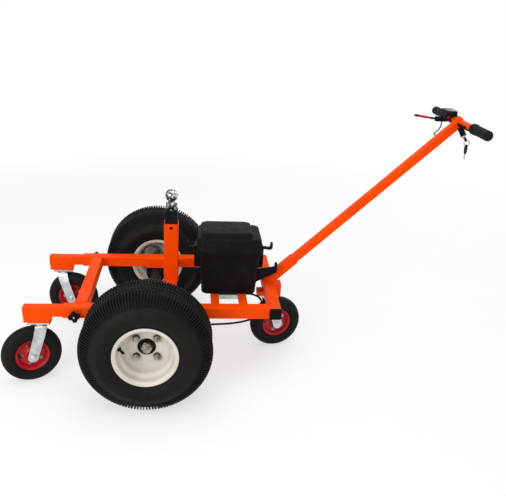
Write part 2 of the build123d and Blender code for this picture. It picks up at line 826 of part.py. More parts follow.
# Drive wheels
axle_axis = Axis((axle_x, 0, axle_z), (0, 1, 0))
rim_half_width = rim_width / 2
flange_r = rim_flange_od / 2
seat_rr = rim_seat_od / 2
well_rr = rim_well_od / 2
tyre_r = tyre_od / 2
sidewall_drop = sidewall_share * (tyre_r - seat_rr)
disc_y = wheel_y + disc_offset
for side, s in SIDES:
    # Rim: flanges, bead seats, well and the recessed disc with its bore and lug holes
    with BuildPart() as rim:
        with BuildSketch(wheel_section(s)):
            rim_half_profile = (
                (rim_half_width, flange_r),
                (rim_half_width - flange_lip, flange_r),
                (rim_half_width - 2 * flange_lip, seat_rr + seat_taper),
                (rim_half_width - seat_inset, seat_rr),
                (rim_half_width - well_inset, well_rr),
            )
            inner_half_profile = (
                (rim_half_width, flange_r - flange_roll),
                (rim_half_width - flange_lip, seat_rr - rim_wall + seat_taper),
                (rim_half_width - seat_inset + rim_wall / 2, seat_rr - rim_wall),
                (rim_half_width - well_inset + rim_wall / 2, well_rr - rim_wall),
            )
            Polygon(
                *rim_half_profile,
                *((-x, r) for x, r in reversed(rim_half_profile)),
                *((-x, r) for x, r in inner_half_profile),
                *reversed(inner_half_profile),
                align=None,
            )
        revolve(axis=axle_axis)
        with BuildSketch(wheel_section(s)):
            dish = disc_offset + disc_wall
            band_r = well_rr - disc_band
            Polygon(
                (disc_offset, rim_bore / 2),
                (dish, rim_bore / 2),
                (dish, band_r - disc_bevel),
                (dish + disc_step, band_r),
                (dish + disc_step, well_rr - rim_wall / 2),
                (disc_offset + disc_step, well_rr - rim_wall / 2),
                (disc_offset + disc_step, band_r),
                (disc_offset, band_r - disc_bevel + disc_wall / 2),
                align=None,
            )
        revolve(axis=axle_axis)
        with BuildSketch(side_view(s * disc_y, axle_x, axle_z)):
            with PolarLocations(lug_pcd / 2, lug_count, start_angle=lug_turn):
                Circle(stud_d / 2 + lug_clear)
        extrude(amount=disc_wall, both=True, mode=Mode.SUBTRACT)
    rim.part.label = f"rim_{side}"
    export_step(rim.part, f"parts/rim_{side}.step")

    # Tyre: hollow carcass with rounded shoulders and grooves round the tread
    bead_r = seat_rr + bead_gap
    bead_y = rim_half_width - seat_inset
    lip_y = rim_half_width - 2 * (flange_lip + bead_gap)
    half_width = tyre_width / 2
    with BuildPart() as tyre:
        with BuildSketch(wheel_section(s)):
            outer_half = (
                (tread_flat / 2, tyre_r),
                (half_width * shoulder_start, tyre_r - shoulder_drop / 3),
                (half_width * shoulder_end, tyre_r - shoulder_drop),
                (half_width * shoulder_foot, tyre_r - 2 * shoulder_drop),
                (half_width * sidewall_start, tyre_r - 3 * sidewall_drop / 4),
                (half_width, tyre_r - sidewall_drop),
                (half_width * sidewall_foot, tyre_r - 4 * sidewall_drop / 3),
                (lip_y, bead_r + bead_height),
                (lip_y, bead_r + seat_taper + bead_gap),
                (bead_y, bead_r),
            )
            inner_half = (
                (bead_y, bead_r + bead_height),
                (half_width - tyre_wall, tyre_r - sidewall_drop),
                (half_width * shoulder_end - tyre_wall, tyre_r - shoulder_drop - tyre_wall),
                (tread_flat / 2 - tyre_wall, tyre_r - 2 * tyre_wall),
            )
            section_half = outer_half + inner_half
            Polygon(*section_half, *((-x, r) for x, r in reversed(section_half)), align=None)
        revolve(axis=axle_axis)
        with BuildSketch(wheel_section(s)):
            for index in range(tread_groove_count):
                step = index - (tread_groove_count - 1) / 2
                with Locations((step * tread_groove_pitch, tyre_r)):
                    Rectangle(tread_groove_width, 2 * tread_groove_depth)
        revolve(axis=axle_axis, mode=Mode.SUBTRACT)
    tyre.part.label = f"tyre_{side}"
    export_step(tyre.part, f"parts/tyre_{side}.step")

    # Hub: barrel, flange and pressed-in studs
    hub_face = s * disc_y
    stud_length = disc_wall + lug_height + stud_show
    with BuildPart() as hub:
        with BuildSketch(side_view(hub_face, axle_x, axle_z)):
            Circle(hub_flange_d / 2)
        extrude(amount=s * hub_flange)
        with BuildSketch(side_view(hub_face - s * hub_flange, axle_x, axle_z)):
            Circle(hub_barrel_d / 2)
        extrude(amount=s * hub_barrel)
        with BuildSketch(side_view(hub_face, axle_x, axle_z)):
            with PolarLocations(lug_pcd / 2, lug_count, start_angle=lug_turn):
                Circle(stud_d / 2)
        extrude(amount=-s * stud_length)
        with BuildSketch(side_view(hub_face, axle_x, axle_z)):
            Circle(shaft_d / 2)
        extrude(amount=s * (hub_flange + hub_barrel), mode=Mode.SUBTRACT)
    hub.part.label = f"hub_{side}"
    export_step(hub.part, f"parts/hub_{side}.step")

    # Lug nuts on the studs
    nut_face = s * (disc_y + disc_wall)
    with BuildPart() as lug_nuts:
        with BuildSketch(side_view(nut_face, axle_x, axle_z)):
            with PolarLocations(lug_pcd / 2, lug_count, start_angle=lug_turn):
                hexagon(lug_across_flats)
                Circle(stud_d / 2 + lug_clear, mode=Mode.SUBTRACT)
        extrude(amount=-s * lug_height)
    lug_nuts.part.label = f"lug_nuts_{side}"
    export_step(lug_nuts.part, f"parts/lug_nuts_{side}.step")

    # Half shaft, from the differential to the axle nut outside the hub
    with BuildPart() as half_shaft:
        shaft_start = shaft_split_y + s * shaft_gap / 2
        with BuildSketch(side_view(shaft_start, axle_x, axle_z)):
            Circle(shaft_d / 2)
        extrude(amount=shaft_start - s * (disc_y + axle_nut_height + shaft_end))
        with BuildSketch(side_view(hub_face, axle_x, axle_z)):
            hexagon(axle_nut_flats)
        extrude(amount=-s * axle_nut_height)
    half_shaft.part.label = f"half_shaft_{side}"
    export_step(half_shaft.part, f"parts/half_shaft_{side}.step")

# Gear case in two halves, each with its axle tube; the motor bolts to the left half
case_r = second_module * (wheel_teeth / 2 + tooth_tip) + case_wall + case_room
counter_r = first_module * (wheel_teeth / 2 + tooth_tip) + case_wall + case_room
nose_r = case_nose_d / 2
case_spots = ((axle_x, case_r), (counter_x, counter_r), (motor_x, nose_r))
for side, s in SIDES:
    with BuildPart() as gear_case:
        with BuildSketch(side_view(0)):
            for spot_x, spot_r in case_spots:
                with Locations((spot_x, axle_z)):
                    Circle(spot_r)
            make_hull()
        extrude(amount=-s * case_half)
        with BuildSketch(side_view(0)):
            for spot_x, spot_r in case_spots:
                with Locations((spot_x, axle_z)):
                    Circle(spot_r - case_wall)
            make_hull()
        extrude(amount=-s * (case_half - case_wall), mode=Mode.SUBTRACT)
        with BuildSketch(side_view(s * (case_half - case_wall), counter_x, axle_z)):
            Circle(counter_boss_d / 2)
        extrude(amount=s * (counter_boss - case_wall))
        with BuildSketch(side_view(s * case_half, axle_x, axle_z)):
            Circle(axle_tube_d / 2)
        extrude(amount=-s * (axle_tube_end - case_half))
        with BuildSketch(side_view(s * (case_half - case_wall), axle_x, axle_z)):
            Circle(axle_tube_bore / 2)
        extrude(amount=-s * (axle_tube_end - bearing_length - case_half + case_wall), mode=Mode.SUBTRACT)
        with BuildSketch(side_view(s * case_half, axle_x, axle_z)):
            Circle(shaft_d / 2 + run_clear)
        extrude(amount=-s * axle_tube_end, mode=Mode.SUBTRACT)
        with BuildSketch(side_view(s * (case_half - case_wall), counter_x, axle_z)):
            Circle(counter_shaft_d / 2 + run_clear)
        extrude(amount=s * counter_boss, mode=Mode.SUBTRACT)
        if s < 0:
            with BuildSketch(side_view(-case_half + case_wall, motor_x, axle_z)):
                Circle(rotor_shaft_d / 2 + run_clear)
            extrude(amount=case_wall, mode=Mode.SUBTRACT)
    gear_case.part.label = f"gear_case_{side}"
    export_step(gear_case.part, f"parts/gear_case_{side}.step")

# Motor can, bolted to the left face of the gear case, with the cable gland under it
motor_low = axle_z - motor_d / 2
motor_cable_y = -case_half - motor_length / 2
with BuildPart() as motor_can:
    with BuildSketch(side_view(-case_half, motor_x, axle_z)):
        Circle(motor_d / 2)
    extrude(amount=motor_length)
    fillet(motor_can.faces().sort_by(Axis.Y)[0].edges(), motor_round)
    with BuildSketch(side_view(-case_half - motor_wall, motor_x, axle_z)):
        Circle(motor_d / 2 - motor_wall)
    extrude(amount=motor_length - 2 * motor_wall, mode=Mode.SUBTRACT)
    with BuildSketch(side_view(-case_half, motor_x, axle_z)):
        Circle(rotor_shaft_d / 2 + run_clear)
    extrude(amount=motor_wall, mode=Mode.SUBTRACT)
    with BuildSketch(Plane((motor_x, motor_cable_y, motor_low - gland_height))):
        Circle(gland_d / 2)
    extrude(amount=gland_height + motor_wall / 2)
motor_can.part.label = "motor_can"
export_step(motor_can.part, "parts/motor_can.step")

# Rotor with the first pinion on its shaft
half_pitch = 180 / pinion_teeth
pinion_face = first_gear_face + 2 * pinion_overhang
rotor_end = case_half + motor_length - motor_wall - swivel_gap
with BuildPart() as rotor:
    with BuildSketch(side_view(first_gear_y + first_gear_face + pinion_overhang, motor_x, axle_z)):
        gear_outline(pinion_teeth, first_module, half_pitch)
    extrude(amount=pinion_face)
    with BuildSketch(side_view(first_gear_y, motor_x, axle_z)):
        Circle(rotor_shaft_d / 2)
    extrude(amount=rotor_end + first_gear_y)
    with BuildSketch(side_view(-case_half - (motor_length - rotor_length) / 2, motor_x, axle_z)):
        Circle(rotor_d / 2)
    extrude(amount=rotor_length)
rotor.part.label = "rotor"
export_step(rotor.part, "parts/rotor.step")

# Counter gear: the first wheel and the second pinion on one shaft
second_face = second_gear_face + 2 * pinion_overhang
with BuildPart() as counter_gear:
    with BuildSketch(side_view(first_gear_y + first_gear_face, counter_x, axle_z)):
        gear_outline(wheel_teeth, first_module)
    extrude(amount=first_gear_face)
    with BuildSketch(side_view(second_gear_y + second_gear_face + pinion_overhang, counter_x, axle_z)):
        gear_outline(pinion_teeth, second_module, half_pitch)
    extrude(amount=second_face)
    shaft_half = case_half - case_wall - swivel_gap
    with BuildSketch(side_view(shaft_half, counter_x, axle_z)):
        Circle(counter_shaft_d / 2)
    extrude(amount=2 * shaft_half)
counter_gear.part.label = "counter_gear"
export_step(counter_gear.part, "parts/counter_gear.step")

# Differential gear on its carrier, which turns on the inner ends of the half shafts
carrier_length = carrier_right_y - carrier_left_y
with BuildPart() as differential_gear:
    with BuildSketch(side_view(second_gear_y + second_gear_face, axle_x, axle_z)):
        gear_outline(wheel_teeth, second_module)
    extrude(amount=second_gear_face)
    with BuildSketch(side_view(carrier_right_y, axle_x, axle_z)):
        Circle(carrier_d / 2)
    extrude(amount=carrier_length)
    with BuildSketch(side_view(carrier_right_y, axle_x, axle_z)):
        Circle(shaft_d / 2 + run_clear)
    extrude(amount=carrier_length, mode=Mode.SUBTRACT)
differential_gear.part.label = "differential_gear"
export_step(differential_gear.part, "parts/differential_gear.step")

# Battery box base: a drafted tub with a lip, a grip at each end and a moulded lug at the rear
tub_length = battery_base_length - 2 * battery_wall
tub_width = battery_base_width - 2 * battery_wall
hook_z = lip_z - base_hook_drop
end_grip_length = lip_length + 2 * end_grip_reach
with BuildPart() as battery_base:
    with BuildSketch(Plane((battery_x, 0, lip_z - end_grip_drop))):
        RectangleRounded(end_grip_length, end_grip_width, end_grip_corner)
    extrude(amount=end_grip_drop)
    with BuildSketch(Plane((battery_x, 0, lip_z - end_grip_drop))):
        RectangleRounded(
            end_grip_length - 2 * battery_wall,
            end_grip_width - 2 * battery_wall,
            end_grip_corner - battery_wall,
        )
    extrude(amount=end_grip_drop - lip_height, mode=Mode.SUBTRACT)
    with BuildSketch(Plane((battery_x, 0, battery_z))):
        RectangleRounded(battery_foot_length, battery_foot_width, battery_corner)
    with BuildSketch(Plane((battery_x, 0, lip_z))):
        RectangleRounded(battery_base_length, battery_base_width, battery_corner)
    loft()
    with BuildSketch(Plane((battery_x, 0, lip_z - lip_height))):
        RectangleRounded(lip_length, lip_width, battery_corner)
    extrude(amount=lip_height)
    base_end = battery_foot_length / 2 - battery_wall / 2
    with BuildSketch(side_view(hook_width / 2 - hook_y, battery_x + base_end, hook_z)):
        Polygon(
            (0, 0),
            (base_hook_reach, base_hook_rise - 4.5 * hook_wall),
            (base_hook_reach, base_hook_rise),
            (base_hook_reach - hook_wall, base_hook_rise),
            (base_hook_reach - hook_wall, base_hook_rise - 2 * hook_wall),
            (0, base_hook_root),
            align=None,
        )
    extrude(amount=hook_width)
    with BuildSketch(Plane((battery_x, 0, battery_z + battery_wall))):
        RectangleRounded(
            battery_foot_length - 2 * battery_wall,
            battery_foot_width - 2 * battery_wall,
            battery_corner - battery_wall,
        )
    with BuildSketch(Plane((battery_x, 0, lip_z))):
        RectangleRounded(tub_length, tub_width, battery_corner - battery_wall)
    loft(mode=Mode.SUBTRACT)
battery_base.part.label = "battery_base"
export_step(battery_base.part, "parts/battery_base.step")

# Lid: skirt, shoulders and raised crown, hollow below, with a latch hook at each end
skirt_length = lip_length - 2 * lip_show
skirt_width = lip_width - 2 * lip_show
crown_x = battery_x - lid_crown_shift
with BuildPart() as battery_lid:
    with BuildSketch(Plane((battery_x, 0, lip_z))):
        RectangleRounded(skirt_length, skirt_width, battery_corner)
    extrude(amount=lid_skirt_height)
    with BuildSketch(Plane((battery_x, 0, lip_z + lid_skirt_height))):
        RectangleRounded(lid_length, lid_width, battery_corner)
    with BuildSketch(Plane((battery_x, 0, lip_z + lid_shoulder_height))):
        RectangleRounded(lid_length - lid_draft, lid_width - 2 * lid_draft, battery_corner)
    loft()
    with BuildSketch(Plane((crown_x, 0, lip_z + lid_shoulder_height))):
        RectangleRounded(lid_crown_length, lid_crown_width + 2 * lid_draft, battery_corner)
    with BuildSketch(Plane((crown_x, 0, lip_z + lid_top_height))):
        RectangleRounded(lid_crown_length - lid_draft, lid_crown_width, battery_corner)
    loft()
    fillet(battery_lid.faces().sort_by(Axis.Z)[-1].edges(), lid_round)
    with BuildSketch(Plane((battery_x, 0, lip_z))):
        RectangleRounded(tub_length, tub_width, battery_corner - battery_wall)
    extrude(amount=lid_skirt_height, mode=Mode.SUBTRACT)
    with BuildSketch(Plane((battery_x, 0, lip_z + lid_skirt_height))):
        RectangleRounded(tub_length, tub_width, battery_corner - battery_wall)
    with BuildSketch(Plane((battery_x, 0, lip_z + lid_shoulder_height - battery_wall))):
        RectangleRounded(tub_length - lid_draft, tub_width - 2 * lid_draft, battery_corner - battery_wall)
    loft(mode=Mode.SUBTRACT)
    crown_room = lid_top_height - lid_shoulder_height
    with BuildSketch(Plane((crown_x, 0, lip_z + lid_shoulder_height - battery_wall))):
        RectangleRounded(
            lid_crown_length - lid_draft - 2 * battery_wall,
            lid_crown_width - 2 * battery_wall,
            battery_corner - battery_wall,
        )
    extrude(amount=crown_room, mode=Mode.SUBTRACT)
    lid_end = skirt_length / 2 - battery_wall
    for end in (-1, 1):
        with BuildSketch(side_view(hook_width / 2 - hook_y, battery_x + end * lid_end, lip_z + lid_hook_lift)):
            reach = lid_hook_reach + battery_wall
            Polygon(
                (0, hook_wall / 2),
                (end * (reach - hook_wall), 0),
                (end * reach, hook_wall),
                (end * reach, lid_hook_rise),
                (end * (reach - hook_wall), lid_hook_rise),
                (end * (reach - 1.5 * hook_wall), hook_wall),
                (0, 1.5 * hook_wall),
                align=None,
            )
        extrude(amount=hook_width)
battery_lid.part.label = "battery_lid"
export_step(battery_lid.part, "parts/battery_lid.step")

# Battery on the floor of the tub
battery_floor = battery_z + battery_wall
with BuildPart() as battery:
    with BuildSketch(Plane((battery_x, 0, battery_floor))):
        RectangleRounded(battery_length, battery_width, battery_case_corner)
    extrude(amount=battery_height)
    with BuildSketch(Plane((battery_x, 0, battery_floor + battery_height))):
        with GridLocations(terminal_spacing, 0, 2, 1):
            Circle(terminal_d / 2)
    extrude(amount=terminal_height)
battery.part.label = "battery"
export_step(battery.part, "parts/battery.step")

# Motor controller under the bars, with cooling fins below
controller_x = axle_x + controller_reach
fin_pitch = (controller_width - fin_wall) / (fin_count - 1)
with BuildPart() as controller:
    with BuildSketch(Plane((controller_x, 0, rail_bottom - controller_height + fin_depth))):
        Rectangle(controller_length, controller_width)
    extrude(amount=controller_height - fin_depth)
    with BuildSketch(Plane((controller_x, 0, rail_bottom - controller_height))):
        with GridLocations(0, fin_pitch, 1, fin_count):
            Rectangle(controller_length, fin_wall)
    extrude(amount=fin_depth)
controller.part.label = "controller"
export_step(controller.part, "parts/controller.step")

# Handle socket, cut flush on the rear tube
with BuildPart() as handle_socket:
    with BuildSketch(handle_plane(-socket_size)):
        tube_section(socket_size, socket_wall, arm_corner)
    extrude(amount=socket_length + socket_size)
    split(bisect_by=Plane((rear_tube_x, 0, rail_top)), keep=Keep.TOP)
handle_socket.part.label = "handle_socket"
export_step(handle_socket.part, "parts/handle_socket.step")

# Handle: a square tube with the T-bar welded through its closed upper end
handle_end = handle_length + bar_r + handle_wall - end_cap_lap
hole_at = handle_plane(handle_length - cable_hole_setback).from_local_coords((0, handle_size / 2 - cable_hole_drop, 0))
with BuildPart() as handle:
    with BuildSketch(handle_plane(handle_tail)):
        tube_section(handle_size, handle_wall, arm_corner)
    extrude(amount=handle_end - handle_tail)
    with BuildSketch(handle_plane(handle_end - handle_wall)):
        RectangleRounded(handle_size, handle_size, arm_corner)
    extrude(amount=handle_wall)
    with BuildSketch(side_view(t_bar_half, bar_x, bar_z)):
        Circle(bar_r)
        Circle(bar_r - t_bar_wall, mode=Mode.SUBTRACT)
    extrude(amount=2 * t_bar_half)
    with BuildSketch(side_view(handle_size / 2, hole_at.X, hole_at.Z)):
        Circle(cable_hole_d / 2)
    extrude(amount=handle_wall, mode=Mode.SUBTRACT)
handle.part.label = "handle"
export_step(handle.part, "parts/handle.step")

# Throttle body clamped on the T-bar
with BuildPart() as throttle_housing:
    with BuildSketch(side_view(throttle_y, bar_x, bar_z)):
        Circle(throttle_d / 2)
        Circle(bar_r, mode=Mode.SUBTRACT)
    extrude(amount=throttle_body)
throttle_housing.part.label = "throttle_housing"
export_step(throttle_housing.part, "parts/throttle_housing.step")

# Twist grip turning on the end of the T-bar
twist_y = throttle_y - throttle_body - throttle_gap
twist_length = t_bar_half + twist_y + grip_end
with BuildPart() as throttle_grip:
    with BuildSketch(side_view(twist_y, bar_x, bar_z)):
        Circle(throttle_grip_d / 2)
    extrude(amount=twist_length)
    fillet(throttle_grip.faces().sort_by(Axis.Y)[0].edges(), grip_round)
    with BuildSketch(side_view(twist_y, bar_x, bar_z)):
        Circle(bar_r + run_clear)
    extrude(amount=twist_length - grip_end + throttle_gap, mode=Mode.SUBTRACT)
throttle_grip.part.label = "throttle_grip"
export_step(throttle_grip.part, "parts/throttle_grip.step")

# Plain rubber grip on the other end
with BuildPart() as grip:
    with BuildSketch(side_view(grip_y, bar_x, bar_z)):
        Circle(grip_d / 2)
    extrude(amount=-(t_bar_half + grip_end - grip_y))
    fillet(grip.faces().sort_by(Axis.Y)[-1].edges(), grip_round)
    with BuildSketch(side_view(grip_y, bar_x, bar_z)):
        Circle(bar_r)
    extrude(amount=-(t_bar_half - grip_y), mode=Mode.SUBTRACT)
grip.part.label = "grip"
export_step(grip.part, "parts/grip.step")

# Display pod above the T-bar, on a clamp that also holds the push button
pod_mid_y = pod_y + pod_length / 2
pod_base_z = bar_z + pod_rise
with BuildPart() as display_pod:
    with BuildSketch(Plane((bar_x + pod_x, pod_mid_y, pod_base_z))):
        RectangleRounded(pod_depth, pod_length, pod_corner)
    extrude(amount=pod_height)
    fillet(display_pod.faces().sort_by(Axis.Z)[-1].edges(), pod_round)
    with BuildSketch(Plane((bar_x + pod_x, pod_mid_y, pod_base_z + pod_height))):
        RectangleRounded(screen_depth, screen_length, screen_corner)
    extrude(amount=-screen_recess, mode=Mode.SUBTRACT)
    with BuildSketch(side_view(pod_clamp_y, bar_x, bar_z)):
        Circle(pod_clamp_d / 2)
        with Locations((0, pod_rise / 2)):
            Rectangle(pod_neck, pod_rise)
        with Locations((button_x, button_z)):
            Circle(button_boss_d / 2)
        Circle(bar_r, mode=Mode.SUBTRACT)
    extrude(amount=-pod_clamp_length)
    with BuildSketch(side_view(pod_clamp_y, bar_x + button_x, bar_z + button_z)):
        Circle(button_d / 2 + button_clear)
    extrude(amount=-(button_sink + button_height), mode=Mode.SUBTRACT)
display_pod.part.label = "display_pod"
export_step(display_pod.part, "parts/display_pod.step")

# Push button in the pod's near face
with BuildPart() as push_button:
    with BuildSketch(side_view(pod_clamp_y + button_sink, bar_x + button_x, bar_z + button_z)):
        Circle(button_d / 2)
    extrude(amount=button_sink + button_height)
    fillet(push_button.faces().sort_by(Axis.Y)[0].edges(), button_round)
push_button.part.label = "push_button"
export_step(push_button.part, "parts/push_button.step")

# Brake lever perch: a clamp on the T-bar with two ears and the pivot pin
ear_half = lever_wall / 2 + lever_gap
perch_mid_y = perch_y + perch_length / 2
with BuildPart() as brake_perch:
    with BuildSketch(side_view(perch_y, bar_x, bar_z)):
        Circle(perch_d / 2)
        with Locations((pivot_x / 2, pivot_z)):
            Rectangle(-pivot_x, 2 * (ear_half + ear_wall))
        Circle(bar_r, mode=Mode.SUBTRACT)
    extrude(amount=-perch_length)
    with BuildSketch(Plane((bar_x + pivot_x, perch_mid_y, bar_z + pivot_z - ear_half - ear_wall))):
        Circle(perch_length / 2)
    extrude(amount=2 * (ear_half + ear_wall))
    with BuildSketch(Plane((bar_x + pivot_x, perch_mid_y, bar_z + pivot_z - ear_half))):
        Circle(lever_root_d / 2 + lever_room)
        with Locations((-perch_length / 2, 0)):
            Rectangle(perch_length, 2 * perch_length)
        with Locations((0, perch_length / 2)):
            Rectangle(lever_root_d + 2 * lever_room, perch_length)
    extrude(amount=2 * ear_half, mode=Mode.SUBTRACT)
    with BuildSketch(Plane((bar_x + pivot_x, perch_mid_y, bar_z + pivot_z - ear_half - ear_wall))):
        Circle(lever_pin_d / 2)
    extrude(amount=2 * (ear_half + ear_wall))
brake_perch.part.label = "brake_perch"
export_step(brake_perch.part, "parts/brake_perch.step")

# Brake lever: root on the pin, blade out and forward, ball tip
lever_z = bar_z + pivot_z
lever_plane = Plane((bar_x + pivot_x, perch_mid_y, lever_z - lever_wall / 2))
with BuildPart() as brake_lever:
    with BuildSketch(lever_plane):
        Circle(lever_root_d / 2)
        with BuildLine():
            Polyline((0, 0), (lever_knee_x, lever_knee_y), (lever_reach_x, lever_reach_y))
            offset(amount=lever_width / 2, mode=Mode.REPLACE)
        make_face()
        with Locations((lever_reach_x, lever_reach_y)):
            Circle(lever_tip_d / 2)
        Circle(lever_pin_d / 2 + run_clear, mode=Mode.SUBTRACT)
    extrude(amount=lever_wall)
brake_lever.part.label = "brake_lever"
export_step(brake_lever.part, "parts/brake_lever.step")

# Key switch on a saddle under the T-bar, its barrel leaning back
lean = radians(key_tilt)
key_dir = Vector(sin(lean), 0, -cos(lean))
key_face_dir = Vector(cos(lean), 0, sin(lean))
key_top = Vector(bar_x + key_x, key_y, bar_z + key_z)


def key_plane(along):
    """Plane square to the barrel, facing down it."""
    return Plane(origin=key_top + along * key_dir, x_dir=(0, 1, 0), z_dir=key_dir)


with BuildPart() as key_switch:
    with BuildSketch(key_plane(0)):
        Circle(key_barrel_d / 2)
    extrude(amount=key_barrel)
    with BuildSketch(side_view(saddle_y, bar_x, bar_z)):
        Circle(saddle_d / 2)
        with Locations((0, saddle_d / 2)):
            Rectangle(saddle_d, saddle_d, mode=Mode.SUBTRACT)
    extrude(amount=saddle_length)
    with BuildSketch(side_view(saddle_y, bar_x, bar_z)):
        Circle(bar_r)
    extrude(amount=saddle_length, mode=Mode.SUBTRACT)
    with BuildSketch(key_plane(key_barrel)):
        Circle(key_shaft_d / 2 + run_clear)
    extrude(amount=-key_shaft - swivel_gap, mode=Mode.SUBTRACT)
key_switch.part.label = "key_switch"
export_step(key_switch.part, "parts/key_switch.step")

# Key in the switch, with the ring in its bow and the spare key hanging from the ring
bow_at = key_barrel + swivel_gap + key_bow_d / 2
ring_at = bow_at + (key_bow_d + key_ring_d) / 2 - 2 * key_ring_wire
ring_mid = key_top + ring_at * key_dir
spare_z = ring_mid.Z - key_ring_d / 2 - spare_key_d / 2 + 2 * key_ring_wire
bow_mid = key_top + bow_at * key_dir
with BuildPart() as key:
    with BuildSketch(key_plane(key_barrel - key_shaft)):
        Circle(key_shaft_d / 2)
    extrude(amount=key_shaft + key_bow_d / 2)
    with BuildSketch(Plane(origin=bow_mid, x_dir=(0, 1, 0), z_dir=key_face_dir)):
        Circle(key_bow_d / 2)
    extrude(amount=key_wall / 2, both=True)
    with BuildSketch(end_view(ring_mid.X, key_y)):
        with Locations((0, spare_z)):
            Circle(spare_key_d / 2)
            Rectangle(spare_blade_width, spare_key_length, align=(Align.CENTER, Align.MAX))
    extrude(amount=key_wall / 2, both=True)
    with Locations(Location(Plane(origin=ring_mid, x_dir=(1, 0, 0), z_dir=(0, 1, 0)))):
        Torus(key_ring_d / 2, key_ring_wire)
key.part.label = "key"
export_step(key.part, "parts/key.step")


def cord_path(points):
    """Fillet radii for a cord's route: as large as the runs beside each point allow."""
    spots = [Vector(*p) for p in points]
    radii = []
    for before, here, after in zip(spots, spots[1:], spots[2:]):
        turn = (here - before).get_angle(after - here)
        shorter = min((here - before).length, (after - here).length)
        radii.append(0.45 * shorter / tan(radians(turn / 2)))
    return radii


# Brake lever's switch cable, from the perch to the hole in the handle
perch_low = bar_z + pivot_z - ear_half - ear_wall
cable_x = bar_x + pivot_x / 2
lever_cable_points = (
    (cable_x, perch_mid_y, perch_low),
    (cable_x, perch_mid_y, perch_low - 18),
    (cable_x - 15, perch_mid_y - 18, perch_low - 34),
    (cable_x - 35, perch_mid_y - 44, perch_low - 36),
    (cable_x - 53, perch_mid_y - 70, perch_low - 38),
    (hole_at.X, handle_size / 2 + 21, hole_at.Z),
    (hole_at.X, handle_size / 2 - handle_wall, hole_at.Z),
)
lever_radii = cord_path(lever_cable_points)
with BuildPart() as lever_cable:
    with BuildLine() as lever_route:
        FilletPolyline(*lever_cable_points, radius=lever_radii)
    with BuildSketch(Plane(origin=lever_route.line @ 0, z_dir=lever_route.line % 0)):
        Circle(lever_cable_d / 2)
    sweep()
lever_cable.part.label = "lever_cable"
export_step(lever_cable.part, "parts/lever_cable.step")
print("lever cable", [round(r, 1) for r in lever_radii], round(lever_route.wire().length, 1))
print("volume", lever_cable.part.volume / (pi * lever_cable_d**2 / 4 * lever_route.wire().length))

# Motor cable, from the gland under the motor, below the axle, round to the controller's rear end
gland_z = motor_low - gland_height
controller_mid = rail_bottom - (controller_height - fin_depth) / 2
plug_x = controller_x + controller_length / 2
motor_cable_points = (
    (motor_x, motor_cable_y, gland_z),
    (motor_x, motor_cable_y, gland_z - 37),
    (motor_x + 24, motor_cable_y - 8, gland_z - 66),
    (motor_x + 70, motor_cable_y - 26, gland_z - 68),
    (motor_x + 132, motor_cable_y - 54, gland_z - 40),
    (motor_x + 196, motor_cable_y - 80, gland_z - 4),
    (motor_x + 262, motor_cable_y - 94, gland_z + 21),
    (motor_x + 330, motor_cable_y - 97, gland_z + 33),
    (motor_x + 392, motor_cable_y - 95, gland_z + 34),
    (plug_x - 16, plug_y - 164, controller_mid - 44),
    (plug_x + 34, plug_y - 148, controller_mid - 37),
    (plug_x + 70, plug_y - 104, controller_mid - 20),
    (plug_x + 78, plug_y - 58, controller_mid - 8),
    (plug_x + 64, plug_y - 20, controller_mid - 2),
    (plug_x + 36, plug_y, controller_mid),
    (plug_x, plug_y, controller_mid),
)
motor_radii = cord_path(motor_cable_points)
with BuildPart() as motor_cable:
    with BuildLine() as motor_route:
        FilletPolyline(*motor_cable_points, radius=motor_radii)
    with BuildSketch(Plane(origin=motor_route.line @ 0, z_dir=motor_route.line % 0)):
        Circle(motor_cable_d / 2)
    sweep()
motor_cable.part.label = "motor_cable"
export_step(motor_cable.part, "parts/motor_cable.step")
print("motor cable", [round(r, 1) for r in motor_radii], round(motor_route.wire().length, 1))
print("volume", motor_cable.part.volume / (pi * motor_cable_d**2 / 4 * motor_route.wire().length))
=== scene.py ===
import json
from math import copysign, cos, pi, radians, sin, sqrt, tau

import bmesh
import bpy
from bpy.props import FloatProperty, FloatVectorProperty, IntProperty, PointerProperty
from mathutils import Matrix, Vector


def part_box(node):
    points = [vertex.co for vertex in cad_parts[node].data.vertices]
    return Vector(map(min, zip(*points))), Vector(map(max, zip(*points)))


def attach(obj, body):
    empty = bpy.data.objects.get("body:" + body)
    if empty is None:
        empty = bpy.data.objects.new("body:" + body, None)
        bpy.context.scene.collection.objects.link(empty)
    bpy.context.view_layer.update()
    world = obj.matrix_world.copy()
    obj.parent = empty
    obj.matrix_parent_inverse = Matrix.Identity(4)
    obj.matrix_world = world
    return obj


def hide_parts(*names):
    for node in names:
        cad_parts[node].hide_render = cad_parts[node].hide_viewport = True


bl_info = {
    "name": "Trailer mover dressing",
    "version": (1, 0, 0),
    "blender": (4, 5, 0),
    "location": "3D View > Sidebar > Mover",
    "description": "Dresses the packed trailer mover with finishes and detailed pieces",
    "category": "Object",
}

